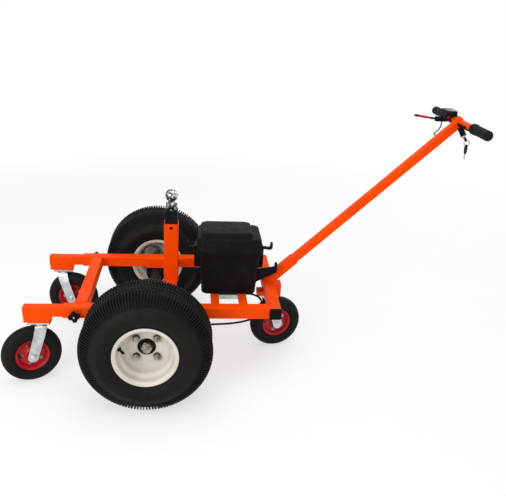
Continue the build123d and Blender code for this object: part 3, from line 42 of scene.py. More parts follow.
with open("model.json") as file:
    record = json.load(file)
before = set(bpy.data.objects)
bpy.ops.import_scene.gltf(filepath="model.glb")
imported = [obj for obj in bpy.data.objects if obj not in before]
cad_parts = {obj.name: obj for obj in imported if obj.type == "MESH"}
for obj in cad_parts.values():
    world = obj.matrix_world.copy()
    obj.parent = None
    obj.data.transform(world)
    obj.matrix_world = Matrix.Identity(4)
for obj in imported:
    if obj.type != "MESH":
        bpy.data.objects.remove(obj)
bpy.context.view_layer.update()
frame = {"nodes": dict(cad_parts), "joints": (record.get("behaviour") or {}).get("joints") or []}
NODES = frame["nodes"]
JOINTS = {joint["name"]: joint for joint in frame["joints"]}
SIDES = (("left", -1), ("right", 1))
REAR, LEFT, RIGHT, UP = (1, 0, 0), (0, -1, 0), (0, 1, 0), (0, 0, 1)
MM = 0.001
MERGE = 1e-6
PINHOLE = 0.01
WHITE = (1.0, 1.0, 1.0, 1.0)
FINISH_PREFIX = "finish_"
METAL = {"gloss": 0.5, "metallic": 1.0}


def colour_prop(name, text, value):
    """Colour setting of a finish, scene linear with alpha."""
    return FloatVectorProperty(
        name=name, description=text, default=(*value, 1.0), size=4, min=0.0, max=1.0, subtype="COLOR"
    )


def length_prop(name, text, value):
    """Length setting, given in mm and kept in metres."""
    return FloatProperty(
        name=name, description=text, default=value * MM, min=0.0, unit="LENGTH", subtype="DISTANCE"
    )


def angle_prop(name, text, degrees):
    """Angle setting, given in degrees."""
    return FloatProperty(name=name, description=text, default=radians(degrees), subtype="ANGLE")


class MoverFinishes(bpy.types.PropertyGroup):
    """Colours of the mover's finishes."""

    orange: colour_prop("Orange coat", "Powder coat on the tube frame", (0.95, 0.072, 0.0))
    orange_shade: colour_prop("Orange coat, thin", "Powder coat where it is thin", (0.86, 0.058, 0.0))
    cream: colour_prop("Cream paint", "Paint on the drive rims", (0.71, 0.675, 0.595))
    cream_shade: colour_prop("Cream paint, dusty", "Paint in the hollows of the rims", (0.54, 0.505, 0.43))
    # Painted shade: grey darkening laid into the creases of the rims
    crease_shade: colour_prop("Rim dust", "Grey dust in the creases of the rims", (0.24, 0.225, 0.19))
    red: colour_prop("Red paint", "Paint on the caster rims", (0.46, 0.008, 0.016))
    red_shade: colour_prop("Red paint, dusty", "Paint in the hollows of these rims", (0.30, 0.008, 0.012))
    sleeve: colour_prop("Red sleeve", "Soft sleeve on the brake lever", (0.50, 0.012, 0.022))
    rubber: colour_prop("Tyre rubber", "Rubber of all the tyres", (0.0085, 0.0076, 0.0072))
    rubber_dust: colour_prop("Tyre dust", "Dust on raised rubber", (0.0135, 0.0122, 0.0115))
    plastic: colour_prop("Black plastic", "Moulded boxes, knobs and caps", (0.0085, 0.0075, 0.0078))
    plastic_dust: colour_prop("Scuffed plastic", "Plastic where hands rub it", (0.0165, 0.0152, 0.0155))
    black: colour_prop("Black paint", "Paint on the ball tube and the drive unit", (0.0085, 0.0085, 0.009))
    zinc: colour_prop("Zinc plate", "Caster forks and small fasteners", (0.66, 0.67, 0.67))
    zinc_shade: colour_prop("Zinc plate, dull", "Zinc where it has weathered", (0.42, 0.43, 0.435))
    steel: colour_prop("Bare steel", "Shafts, gears and keys", (0.58, 0.58, 0.57))
    dull: colour_prop("Dull steel", "Lug nuts and axle nuts", (0.46, 0.44, 0.40))
    chrome: colour_prop("Chrome", "Tow ball", (0.80, 0.81, 0.82))
    # Dark colour of the greasy patches; on the ball these patches are painted dark reflection
    grease_and_painted_reflection: colour_prop("Grease", "Film of grease on the ball", (0.035, 0.034, 0.033))
    alloy: colour_prop("Alloy", "Controller case", (0.62, 0.63, 0.64))
    glass: colour_prop("Screen glass", "Cover of the display", (0.05, 0.052, 0.056))
    lamp: colour_prop("Lamp", "Small white lamp beside the screen", (0.9, 0.9, 0.9))
    floor: colour_prop("Floor", "Pale floor", (0.96, 0.96, 0.96))


class MoverSizes(bpy.types.PropertyGroup):
    """Sizes of the detail on the mover."""

    tread_lugs: IntProperty(name="Tread lugs", description="Tread blocks in one row", default=132, min=12)
    tread_depth: length_prop("Tread depth", "Height of the tread blocks", 6.0)
    tread_gap: FloatProperty(
        name="Tread gap",
        description="Open share of the lug pitch",
        default=0.5,
        min=0.0,
        max=0.9,
        subtype="FACTOR",
    )
    weld_radius: length_prop("Weld radius", "Radius of the weld beads", 2.2)
    weld_ripple: length_prop("Weld ripple", "Pitch of the ripples in a weld bead", 3.2)
    edge_round: length_prop("Edge round", "Rounding that shows on tube and plate edges", 1.2)
    grip_ribs: IntProperty(name="Grip ribs", description="Ribs round each hand grip", default=15, min=1)
    lens: FloatProperty(name="Lens", description="Focal length", default=45.41, min=1.0, unit="CAMERA")
    camera_yaw: angle_prop("Camera yaw", "Turn of the camera to the rear", 6.18)
    camera_pitch: angle_prop("Camera pitch", "Dip of the camera", 21.68)
    camera_roll: angle_prop("Camera roll", "Roll of the camera", -3.18)
    camera_at: FloatVectorProperty(
        name="Camera place",
        description="Where the camera stands",
        default=(-0.1949, -2.399, 1.4045),
        subtype="TRANSLATION",
    )


def sizes():
    """The size settings of the scene."""
    return bpy.context.scene.mover_sizes


def add_object(name, data):
    """New object in the scene."""
    thing = bpy.data.objects.new(name, data)
    bpy.context.scene.collection.objects.link(thing)
    return thing


def tint(name):
    """A colour setting as a plain tuple."""
    return tuple(getattr(bpy.context.scene.mover_finishes, name))


# Places and outlines

# Share of an edge that a rounded corner may take, and the least opening that an inset corner counts with
SHORT_EDGE, SHARPEST = 0.45, 0.4


def axes(origin, along, up=UP):
    """Place whose local z runs along and whose local x is nearest to up."""
    z = Vector(along).normalized()
    x = Vector(up) - Vector(up).dot(z) * z
    x.normalize()
    turn = Matrix((x, z.cross(x), z)).transposed().to_4x4()
    return Matrix.Translation(Vector(origin)) @ turn


def facing(s, axis="X"):
    """Half a turn round the axis for the negative side, none for the positive one."""
    return Matrix.Rotation(0 if s > 0 else pi, 4, axis)


def middle(node):
    """Centre of a CAD node's box."""
    low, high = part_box(node)
    return (low + high) / 2


def turns(count, start=0.0):
    """Angles evenly round a circle."""
    return [start + tau * i / count for i in range(count)]


def polar(radius, turn, z=0.0):
    """Point at a radius and an angle from x."""
    return radius * cos(turn), radius * sin(turn), z


def bolt_circle(place, count, radius, start):
    """Angle and place of each bolt round the place's z; radius in mm, start in degrees."""
    for turn in turns(count, radians(start)):
        yield turn, place @ Matrix.Translation(Vector(polar(radius * MM, turn)))


def soften(points, reach, steps, closed=False):
    """The same line with its corners rounded, each cut back by reach or, at short edges, by less."""
    spots = [Vector(p) for p in points]
    count = len(spots)
    line = []
    for i, here in enumerate(spots):
        if not closed and i in (0, count - 1):
            line.append(here)
            continue
        before = spots[i - 1] - here
        after = spots[(i + 1) % count] - here
        start = here + before.normalized() * min(reach, SHORT_EDGE * before.length)
        end = here + after.normalized() * min(reach, SHORT_EDGE * after.length)
        for k in range(steps + 1):
            t = k / steps
            line.append(start * (1 - t) ** 2 + here * 2 * t * (1 - t) + end * t * t)
    return line


def mirrored(points):
    """The same points on the other side of x = 0, in reverse order."""
    return [Vector((-x, y)) for x, y in reversed(points)]


def sideways(line):
    """Each point of a line, with the unit vector across the line there."""
    for i, here in enumerate(line):
        ahead = line[min(i + 1, len(line) - 1)] - line[max(i - 1, 0)]
        yield here, Vector((-ahead.y, ahead.x)).normalized()


def inset(outline, amount):
    """A closed outline drawn in by amount, corner by corner; it runs anticlockwise."""
    count = len(outline)
    moved = []
    for i, here in enumerate(outline):
        back = (here - outline[i - 1]).normalized()
        ahead = (outline[(i + 1) % count] - here).normalized()
        side = Vector((-back.y - ahead.y, back.x + ahead.x))
        bend = max(1.0 + back.dot(ahead), SHARPEST)
        moved.append(here + side * amount / bend)
    return moved


def circle(radius, steps, start=0.0):
    """Round outline."""
    return [Vector(polar(radius, t)[:2]) for t in turns(steps, start)]


def rounded(half_x, half_y, corner, steps=6):
    """Rectangular outline with rounded corners, by its half sizes."""
    outline = []
    for quarter, (sx, sy) in enumerate(((1, 1), (-1, 1), (-1, -1), (1, -1))):
        for k in range(steps + 1):
            x, y, _ = polar(corner, (quarter + k / steps) * pi / 2)
            outline.append(Vector((sx * (half_x - corner) + x, sy * (half_y - corner) + y)))
    return outline


class Shape:
    """Points and faces of one piece in the shared frame, from sizes in mm; the calls chain."""

    # Points round a bar, when its path counts as upright, and how far a weld's ripples swell
    BAR_STEPS, UPRIGHT, WELD_SWELL = 8, 0.05, 0.13
    # Share of a rounded edge at which its middle point stands
    KNEE = 0.3

    def __init__(self):
        self.points = []
        self.faces = []

    def skin(self, place, rings, closed=False, unit=MM):
        """Skin over rings of equal length, given in the place's own axes."""
        start = len(self.points)
        count = len(rings[0])
        for ring in rings:
            self.points.extend(place @ Vector([v * unit for v in p]) for p in ring)
        for i in range(len(rings) if closed else len(rings) - 1):
            a = start + i * count
            b = start + (i + 1) % len(rings) * count
            for j in range(count):
                k = (j + 1) % count
                self.faces.append((a + j, a + k, b + k, b + j))
        if not closed:
            last = len(self.points) - count
            self.faces.append(tuple(reversed(range(start, start + count))))
            self.faces.append(tuple(range(last, last + count)))
        return self

    def lathe(self, place, profile, steps):
        """Solid turned round the place's z from (along, radius) points."""
        return self.skin(place, [[polar(r, t, a) for t in turns(steps)] for a, r in profile], closed=True)

    def prism(self, place, outline, low, high, edge):
        """Outline pushed from low to high along z, with its end edges rounded."""
        ends = ((0.0, edge), (self.KNEE * edge, self.KNEE * edge), (edge, 0.0))
        levels = [(low + step, draw) for step, draw in ends]
        levels += [(high - step, draw) for step, draw in reversed(ends)]
        return self.skin(place, [[(*p, z) for p in inset(outline, draw)] for z, draw in levels])

    def nut(self, place, size, turn=0.0):
        """Hexagon given as (width across its flats, low, high, edge)."""
        flats, low, high, edge = size
        return self.prism(place, circle(flats / sqrt(3), 6, turn), low, high, edge)

    def stack(self, place, levels):
        """Skin over rounded rectangles given as (z, half length, half width, corner, shift along x)."""
        rings = []
        for z, half_x, half_y, corner, shift in levels:
            rings.append([(p.x + shift, p.y, z) for p in rounded(half_x, half_y, corner)])
        return self.skin(place, rings)

    def bar(self, points, radius, ripple=0.0):
        """Round bar along points of the shared frame, in metres; ripple swells every second ring."""
        spots = [Vector(p) for p in points]
        loop = (spots[0] - spots[-1]).length < MERGE
        if loop:
            spots.pop()
        count, side, rings = len(spots), Vector(UP), []
        for i, here in enumerate(spots):
            before = spots[i - 1] if i or loop else here
            after = spots[(i + 1) % count] if i < count - 1 or loop else here
            along = (after - before).normalized()
            side = side - side.dot(along) * along
            if side.length < self.UPRIGHT:
                side = Vector(REAR) - along.x * along
            side.normalize()
            across = along.cross(side)
            reach = radius * (1.0 + (ripple if i % 2 else -ripple))
            rings.append([here + (side * cos(t) + across * sin(t)) * reach for t in turns(self.BAR_STEPS)])
        return self.skin(Matrix.Identity(4), rings, closed=loop, unit=1.0)

    def bead(self, corners):
        """Weld bead round a closed line of corner points, in metres."""
        path = [Vector(c) for c in (*corners, corners[0])]
        spots = []
        for a, b in zip(path, path[1:]):
            count = max(2, round((b - a).length / sizes().weld_ripple / 2) * 2)
            spots.extend(a.lerp(b, k / count) for k in range(count))
        return self.bar([*spots, path[0]], sizes().weld_radius, self.WELD_SWELL)

    def build(self, name, body, finish, slot=None, node=None, smooth=35.0):
        """Makes the object, which rides on the body and may stand for a CAD node.

        The slot argument is not used.
        """
        mesh = bpy.data.meshes.new(name)
        mesh.from_pydata(self.points, [], self.faces)
        shell = bmesh.new()
        shell.from_mesh(mesh)
        bmesh.ops.remove_doubles(shell, verts=shell.verts, dist=MERGE)
        bmesh.ops.recalc_face_normals(shell, faces=shell.faces)
        shell.to_mesh(mesh)
        shell.free()
        mesh.polygons.foreach_set("use_smooth", [True] * len(mesh.polygons))
        mesh.set_sharp_from_angle(angle=radians(smooth))
        mesh.materials.append(finish_of(finish))
        piece = add_object(name, mesh)
        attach(piece, body)
        if node:
            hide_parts(node)


# Finishes


def add_node(tree, kind, inputs=None, **settings):
    """New node with its settings, and its inputs set to values or linked to outputs."""
    node = tree.nodes.new(kind)
    for name, value in settings.items():
        setattr(node, name, value)
    for key, value in (inputs or {}).items():
        if isinstance(value, bpy.types.NodeSocket):
            tree.links.new(value, node.inputs[key])
        else:
            node.inputs[key].default_value = value
    return node


class Finish:
    """A new material and the calls that build its nodes."""

    def __init__(self, name, base, roughness, gloss=0.25, metallic=0.0):
        self.material = bpy.data.materials.new(FINISH_PREFIX + name)
        self.material.use_nodes = True
        self.tree = self.material.node_tree
        self.shader = self.tree.nodes["Principled BSDF"]
        self.shader.inputs["Base Color"].default_value = base
        self.shader.inputs["Roughness"].default_value = roughness
        self.shader.inputs["Metallic"].default_value = metallic
        self.shader.inputs["Specular IOR Level"].default_value = gloss
        self.place = self.add("ShaderNodeTexCoord").outputs["Object"]

    def add(self, kind, inputs=None, **settings):
        """New node in this material."""
        return add_node(self.tree, kind, inputs, **settings)

    def feed(self, name, output):
        """Links an output to one of the shader's sockets."""
        self.tree.links.new(output, self.shader.inputs[name])

    def noise(self, scale, detail, where=None):
        """Cloudy value from 0 to 1."""
        inputs = {"Vector": where or self.place, "Scale": scale, "Detail": detail}
        return self.add("ShaderNodeTexNoise", inputs).outputs["Fac"]

    def spread(self, value, start, end, low=0.0, high=1.0):
        """Value carried from one range to another, held at both ends."""
        inputs = {"Value": value, "From Min": start, "From Max": end, "To Min": low, "To Max": high}
        return self.add("ShaderNodeMapRange", inputs).outputs["Result"]

    def cloud(self, scale, detail, start, end, low=0.0, high=1.0):
        """Noise carried from one range to another."""
        return self.spread(self.noise(scale, detail), start, end, low, high)

    def product(self, a, b):
        """Two values multiplied."""
        return self.add("ShaderNodeMath", {0: a, 1: b}, operation="MULTIPLY").outputs[0]

    def blend(self, share, a, b):
        """Colour between a and b; each is a colour or an output."""
        return self.add("ShaderNodeMix", {0: share, 6: a, 7: b}, data_type="RGBA").outputs[2]

    def edge(self, radius):
        """Rounded normal at edges, and how far it turns from the flat one."""
        normal = self.add("ShaderNodeBevel", {"Radius": radius}, samples=4).outputs["Normal"]
        flat = self.add("ShaderNodeNewGeometry").outputs["Normal"]
        match = self.add("ShaderNodeVectorMath", {0: normal, 1: flat}, operation="DOT_PRODUCT")
        return normal, self.spread(match.outputs["Value"], 0.99, 0.80)

    def hollow(self, reach):
        """How closely the surface is hemmed in within reach."""
        near = self.add("ShaderNodeAmbientOcclusion", {"Distance": reach}, samples=8)
        return self.spread(near.outputs["AO"], 0.95, 0.45, 0.0, 0.85)

    def done(self, colour, roughness=None, bumps=(), normal=None):
        """The material, once colour, roughness and bumps of (value, strength, mm) are linked."""
        for value, strength, distance in bumps:
            inputs = {"Height": value, "Strength": strength, "Distance": distance * MM}
            if normal:
                inputs["Normal"] = normal
            normal = self.add("ShaderNodeBump", inputs).outputs["Normal"]
        for name, output in (("Base Color", colour), ("Roughness", roughness), ("Normal", normal)):
            if output:
                self.feed(name, output)
        return self.material


def painted(name, base, shade, roughness, peel=700.0, edge_tint=None, gloss=0.25, dusty=0.0, foot=None):
    """Sprayed or powder-coated metal: orange peel, thin places and worn edges.

    Hollows closer than dusty are darkened with painted crease shade, and below the CAD node named as foot
    the coat is black.
    """
    finish = Finish(name, base, roughness, gloss)
    colour = finish.blend(finish.cloud(9.0, 4.0, 0.42, 0.72), base, shade)
    if foot:
        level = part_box(foot)[0].z
        height = finish.add("ShaderNodeSeparateXYZ", {"Vector": finish.place}).outputs["Z"]
        colour = finish.blend(finish.spread(height, level, level - 0.4 * MM), colour, tint("black"))
    # Painted shade: hollows within the dusty reach darken towards the crease shade colour
    if dusty:
        colour = finish.blend(finish.hollow(dusty), colour, tint("crease_shade"))
    normal, worn = finish.edge(sizes().edge_round)
    rubbed = finish.product(worn, finish.cloud(60.0, 4.0, 0.45, 0.65))
    colour = finish.blend(rubbed, colour, tint(edge_tint) if edge_tint else shade)
    rough = finish.cloud(26.0, 5.0, 0.35, 0.7, roughness - 0.06, roughness + 0.10)
    return finish.done(colour, rough, [(finish.noise(peel, 2.0), 0.05, 0.4)], normal)


def plated(name, base, shade, roughness, brush=(1.0, 1.0, 1.0)):
    """Plated or machined metal with dull patches and a brushed grain."""
    finish = Finish(name, base, roughness, **METAL)
    normal, worn = finish.edge(0.5 * sizes().edge_round)
    colour = finish.blend(worn, finish.blend(finish.cloud(34.0, 6.0, 0.38, 0.68), base, shade), base)
    stretched = finish.add("ShaderNodeMapping", {"Vector": finish.place, "Scale": brush}).outputs["Vector"]
    streak = finish.noise(420.0, 3.0, stretched)
    rough = finish.spread(streak, 0.3, 0.75, roughness - 0.07, roughness + 0.14)
    return finish.done(colour, rough, [(streak, 0.06, 0.2)], normal)


def rubbery(name, base, dust, roughness, gloss, stain, specks, patches, grains):
    """Rubber with a fine grain, and dust in stains and on what stands proud."""
    finish = Finish(name, base, roughness, gloss)
    normal, worn = finish.edge(sizes().edge_round)
    dusty = finish.product(finish.cloud(*stain), finish.cloud(*specks))
    colour = finish.blend(worn, finish.blend(dusty, base, dust), dust)
    scale, detail, less, more = patches
    rough = finish.cloud(scale, detail, 0.3, 0.7, roughness - less, roughness + more)
    bumps = [(finish.noise(grain, detail), strength, depth) for grain, detail, strength, depth in grains]
    return finish.done(colour, rough, bumps, normal)


def moulded(name, base, scuff, roughness, grain):
    """Moulded plastic with a leathery grain, rubbed along its edges."""
    finish = Finish(name, base, roughness, 0.035)
    normal, worn = finish.edge(sizes().edge_round)
    colour = finish.blend(finish.cloud(18.0, 4.0, 0.5, 0.85, 0.0, 0.6), base, scuff)
    rough = finish.cloud(30.0, 4.0, 0.3, 0.7, roughness - 0.06, roughness + 0.08)
    cells = finish.add("ShaderNodeTexVoronoi", {"Vector": finish.place, "Scale": grain}).outputs["Distance"]
    return finish.done(finish.blend(worn, colour, scuff), rough, [(cells, 0.10, 0.25)], normal)


def greased_with_painted_reflection(name, base, grease_and_painted_reflection, roughness):
    """Bright chrome with a greasy coat left by the coupling, which raises the roughness in patches; the
    dark colour of these patches is painted dark reflection.
    """
    finish = Finish(name, base, roughness, **METAL)
    grease_and_reflection_film = finish.noise(95.0, 5.0)
    # Painted dark reflection: patches of the chrome turn dark
    colour = finish.blend(finish.spread(grease_and_reflection_film, 0.66, 0.46), base, grease_and_painted_reflection)
    rough = finish.spread(grease_and_reflection_film, 0.66, 0.46, roughness, 0.28)
    return finish.done(colour, rough, [(finish.noise(260.0, 3.0), 0.04, 0.3)])


def smeared(name, base, smear, roughness):
    """Dark glass with faint smears."""
    finish = Finish(name, base, roughness, 0.10)
    rough = finish.cloud(60.0, 4.0, 0.4, 0.7, roughness - 0.06, roughness + 0.10)
    return finish.done(finish.blend(finish.noise(120.0, 3.0), base, smear), rough)


def frosted(name, base, shade, roughness):
    """Frosted cover of a small lamp."""
    finish = Finish(name, base, roughness)
    return finish.done(finish.blend(finish.noise(700.0, 2.0), base, shade))


def soft_rubber(grain):
    """What the small rubber pieces share, with their own grain."""
    return {
        "gloss": 0.12,
        "stain": (14.0, 5.0, 0.45, 0.8),
        "specks": (180.0, 3.0, 0.3, 0.7),
        "patches": (50.0, 4.0, 0.08, 0.10),
        "grains": [(grain, 2.0, 0.12, 0.3)],
    }


ROAD_RUBBER = {
    "gloss": 0.10,
    "stain": (11.0, 6.0, 0.45, 0.75),
    "specks": (240.0, 3.0, 0.35, 0.7),
    "patches": (40.0, 5.0, 0.14, 0.12),
    "grains": [(900.0, 2.0, 0.10, 0.3), (60.0, 3.0, 0.08, 0.8)],
}

# Maker of each finish, its two colours, its roughness and what else the maker needs
RECIPES = {
    "orange_paint": (painted, "orange", "orange_shade", 0.40, {"gloss": 0.05}),
    "rail_paint": (painted, "orange", "orange_shade", 0.40, {"gloss": 0.05, "foot": "cross_tubes"}),
    # The rims' creases get painted shade within 14 mm
    "cream_paint": (painted, "cream", "cream_shade", 0.36, {"dusty": 14 * MM}),
    "red_paint": (painted, "red", "red_shade", 0.30, {}),
    "black_paint": (painted, "black", "plastic_dust", 0.42, {"edge_tint": "dull", "gloss": 0.07}),
    "case_metal": (painted, "black", "plastic_dust", 0.48, {"peel": 400.0, "gloss": 0.12}),
    "dark_steel": (plated, "plastic_dust", "black", 0.42, {}),
    "zinc_plate": (plated, "zinc", "zinc_shade", 0.30, {}),
    "dull_steel": (plated, "dull", "grease_and_painted_reflection", 0.46, {}),
    "bare_steel": (plated, "steel", "zinc_shade", 0.28, {}),
    "cast_alloy": (plated, "alloy", "zinc_shade", 0.40, {"brush": (0.15, 1.0, 1.0)}),
    "chrome_plate": (greased_with_painted_reflection, "chrome", "grease_and_painted_reflection", 0.07, {}),
    "tyre_rubber": (rubbery, "rubber", "rubber_dust", 0.62, ROAD_RUBBER),
    "grip_rubber": (rubbery, "rubber", "rubber_dust", 0.62, soft_rubber(1500.0)),
    "cable_rubber": (rubbery, "black", "rubber_dust", 0.45, soft_rubber(800.0)),
    "sleeve_rubber": (rubbery, "sleeve", "red_shade", 0.50, soft_rubber(900.0)),
    "black_plastic": (moulded, "plastic", "plastic_dust", 0.46, {"grain": 1100.0}),
    "battery_plastic": (moulded, "plastic_dust", "plastic", 0.40, {"grain": 500.0}),
    "red_plastic": (moulded, "sleeve", "red_shade", 0.25, {"grain": 300.0}),
    "screen_glass": (smeared, "glass", "plastic", 0.24, {}),
    "lamp_cover": (frosted, "lamp", "zinc", 0.35, {}),
}


def finish_of(name):
    """The finish of that name, made when it is first asked for."""
    made = bpy.data.materials.get(FINISH_PREFIX + name)
    if made is None:
        maker, base, shade, roughness, more = RECIPES[name]
        made = maker(name, tint(base), tint(shade), roughness, **more)
    return made


def coat(finish, *nodes):
    """Gives CAD nodes a finish."""
    for node in nodes:
        for place in NODES[node].material_slots:
            place.material = finish_of(finish)


class MoverOperator:
    """What all the mover's operators share."""

    bl_options = {"REGISTER", "UNDO"}


class MOVER_OT_stage(MoverOperator, bpy.types.Operator):
    """Camera, soft lights, white surround and pale floor"""

    bl_idname = "mover.stage"
    bl_label = "Stage"

    SENSOR_WIDTH = 36.0
    SKY_LIGHT = 0.62
    # Large soft lamps as (name, place, size, power), and where they point
    LAMPS = (
        ("overhead", (-0.3, -0.4, 3.4), 3.0, 36.0),
        ("front_left", (-2.2, -3.2, 1.9), 2.0, 64.0),
        ("rear_right", (2.4, 2.6, 2.6), 2.0, 22.0),
    )
    AIM = (0.0, 0.0, 0.35)
    FLOOR_RADIUS, FLOOR_DROP = 6.0, 0.0005
    FLOOR_SHADE = (0.98, 0.98, 0.98, 1.0)
    FADE_START, FADE_END = 1.3, 3.4
    WHITENED = 0.6

    def execute(self, context):
        scene = context.scene
        scene.view_settings.view_transform = "Standard"
        self.camera(scene)
        self.surround(scene)
        self.lights()
        self.floor()
        return {"FINISHED"}

    def camera(self, scene):
        """Camera at the photographed angle."""
        data = bpy.data.cameras.new("mover_camera")
        data.lens = sizes().lens
        data.sensor_width = self.SENSOR_WIDTH
        yaw, pitch, roll = sizes().camera_yaw, sizes().camera_pitch, sizes().camera_roll
        ahead = Vector((sin(yaw) * cos(pitch), cos(yaw) * cos(pitch), -sin(pitch)))
        level = Vector((cos(yaw), -sin(yaw), 0))
        down = ahead.cross(level)
        right = cos(roll) * level + sin(roll) * down
        low = cos(roll) * down - sin(roll) * level
        camera = add_object("mover_camera", data)
        turn = Matrix((right, -low, -ahead)).transposed().to_4x4()
        camera.matrix_world = Matrix.Translation(Vector(sizes().camera_at)) @ turn
        scene.camera = camera

    def seen_by(self, tree):
        """1 for what the camera sees, itself or in metal and glass."""
        path = add_node(tree, "ShaderNodeLightPath").outputs
        seen = path["Is Camera Ray"]
        for other in ("Is Glossy Ray", "Is Transmission Ray"):
            either = add_node(tree, "ShaderNodeMath", {0: seen, 1: path[other]}, operation="MAXIMUM")
            seen = either.outputs[0]
        return seen

    def surround(self, scene):
        """World that shows white and gives a soft sky light."""
        world = bpy.data.worlds.new("mover_surround")
        scene.world = world
        world.use_nodes = True
        tree = world.node_tree
        sky = tree.nodes["Background"].inputs
        sky["Color"].default_value = WHITE
        inputs = {"Value": self.seen_by(tree), "To Min": self.SKY_LIGHT, "To Max": 1.0}
        tree.links.new(add_node(tree, "ShaderNodeMapRange", inputs).outputs["Result"], sky["Strength"])

    def lights(self):
        """Lamps overhead, from the camera's left and from behind."""
        for name, place, size, power in self.LAMPS:
            data = bpy.data.lights.new(name, "AREA")
            data.size = size
            data.energy = power
            lamp = add_object(name, data)
            lamp.location = place
            lamp.rotation_mode = "QUATERNION"
            lamp.rotation_quaternion = (Vector(self.AIM) - Vector(place)).to_track_quat("-Z", "Y")

    def floor(self):
        """Pale floor that fades into the white surround."""
        mesh = bpy.data.meshes.new("mover_floor")
        rim = circle(self.FLOOR_RADIUS, 48)
        mesh.from_pydata([(*p, 0.0) for p in rim], [], [tuple(range(len(rim)))])
        finish = Finish("pale_floor", tint("floor"), roughness=0.9, gloss=0.0)
        finish.feed("Base Color", finish.blend(finish.noise(3.0, 2.0), tint("floor"), self.FLOOR_SHADE))
        reach = finish.add("ShaderNodeVectorMath", {0: finish.place}, operation="LENGTH").outputs["Value"]
        opacity = finish.spread(reach, self.FADE_START, self.FADE_END, 1.0, 0.0)
        finish.feed("Alpha", opacity)
        self.whiten(finish, opacity)
        mesh.materials.append(finish.material)
        floor = add_object("mover_floor", mesh)
        floor.location = (0.0, 0.0, -self.FLOOR_DROP)

    def whiten(self, finish, opacity):
        """Lets seen and mirrored floor show mostly white, so that its shadows stay faint."""
        tree = finish.tree
        share = finish.product(finish.spread(self.seen_by(tree), 0.0, 1.0, 0.0, self.WHITENED), opacity)
        glow = finish.add("ShaderNodeEmission", {"Color": WHITE, "Strength": 1.0}).outputs[0]
        mixed = finish.add("ShaderNodeMixShader", {0: share, 1: finish.shader.outputs[0], 2: glow})
        tree.links.new(mixed.outputs[0], tree.nodes["Material Output"].inputs["Surface"])


class MOVER_OT_frame(MoverOperator, bpy.types.Operator):
    """Powder coat on the tube frame, its weld beads and its end caps"""

    bl_idname = "mover.frame"
    bl_label = "Frame"

    # Lengths in metres, for beads are laid in the shared frame
    TUBE_CORNER, POST_HALF, HANDLE_HALF, T_BAR_RADIUS = 5 * MM, 28.5 * MM, 16 * MM, 13.2 * MM
    BAR_WIDTH, BAR_HEIGHT, EASE = 32 * MM, 20 * MM, 1 * MM
    # Length of the socket's slanted foot in half widths
    SOCKET_FOOT = 2.9088
    # Domed face of a cap as (height, half width), and its corner
    CAP_LEVELS = ((-0.3, 21), (0.6, 20), (1.2, 17))
    CAP_CORNER = 4

    def execute(self, context):
        coat("rail_paint", "side_rail_left", "side_rail_right")
        coat("orange_paint", "cross_tubes", "rear_cross_tube", "battery_bars", "hitch_post", "handle")
        coat("orange_paint", "handle_socket", "rear_caster_bracket", "caster_arm_left", "caster_arm_right")
        coat("black_plastic", "rear_tube_caps")
        beads = Shape()
        self.tube_welds(beads)
        self.handle_welds(beads)
        beads.build("weld_beads", "frame", "orange_paint", smooth=80.0)
        self.caps()
        return {"FINISHED"}

    def tube_welds(self, beads):
        """Beads where the tubes, the battery bars and the post meet."""
        low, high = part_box("cross_tubes")
        bars_low, bars_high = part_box("battery_bars")
        rear_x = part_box("rear_cross_tube")[0].x
        post_x = middle("hitch_post").x
        half, level = (high.z - low.z) / 2, (high.z + low.z) / 2
        square = rounded(half, half, self.TUBE_CORNER, steps=2)
        eased = soften(square, self.EASE, steps=2, closed=True)
        bar = ((0, 0), (self.BAR_WIDTH, 0), (self.BAR_WIDTH, self.BAR_HEIGHT), (0, self.BAR_HEIGHT))
        for s in (-1, 1):
            y = s * high.y
            for x in (low.x + half, post_x):
                beads.bead([(x + p.x, y, level + p.y) for p in eased])
            for start in (bars_low.x, bars_high.x - self.BAR_WIDTH):
                beads.bead([(start + x, y, bars_low.z + z) for x, z in bar])
            beads.bead([(rear_x, y + s * half + p.x, level + p.y) for p in square])
        post = rounded(self.POST_HALF, self.POST_HALF, self.TUBE_CORNER, steps=2)
        beads.bead([(post_x + max(-half, min(half, p.x)), p.y, high.z) for p in post])

    def handle_welds(self, beads):
        """Beads round the socket's foot and where the T-bar goes through the handle."""
        low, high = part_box("handle_socket")
        half = (high.y - low.y) / 2
        rear = min(low.x + self.SOCKET_FOOT * half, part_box("rear_cross_tube")[1].x)
        foot = ((low.x, -half), (rear, -half), (rear, half), (low.x, half))
        beads.bead([(*p, low.z) for p in foot])
        bar = middle("throttle_grip")
        for y in (-self.HANDLE_HALF, self.HANDLE_HALF):
            beads.bead([(bar.x + p.x, y, bar.z + p.y) for p in circle(self.T_BAR_RADIUS, steps=20)])

    def caps(self):
        """Domed faces on the caps of the rear tube."""
        domes = Shape()
        centre, reach = middle("rear_tube_caps"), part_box("rear_tube_caps")[1].y
        for s in (-1, 1):
            place = axes((centre.x, s * reach, centre.z), (0, s, 0))
            domes.stack(place, [(z, half, half, self.CAP_CORNER, 0) for z, half in self.CAP_LEVELS])
        domes.build("cap_faces", "frame", "black_plastic")


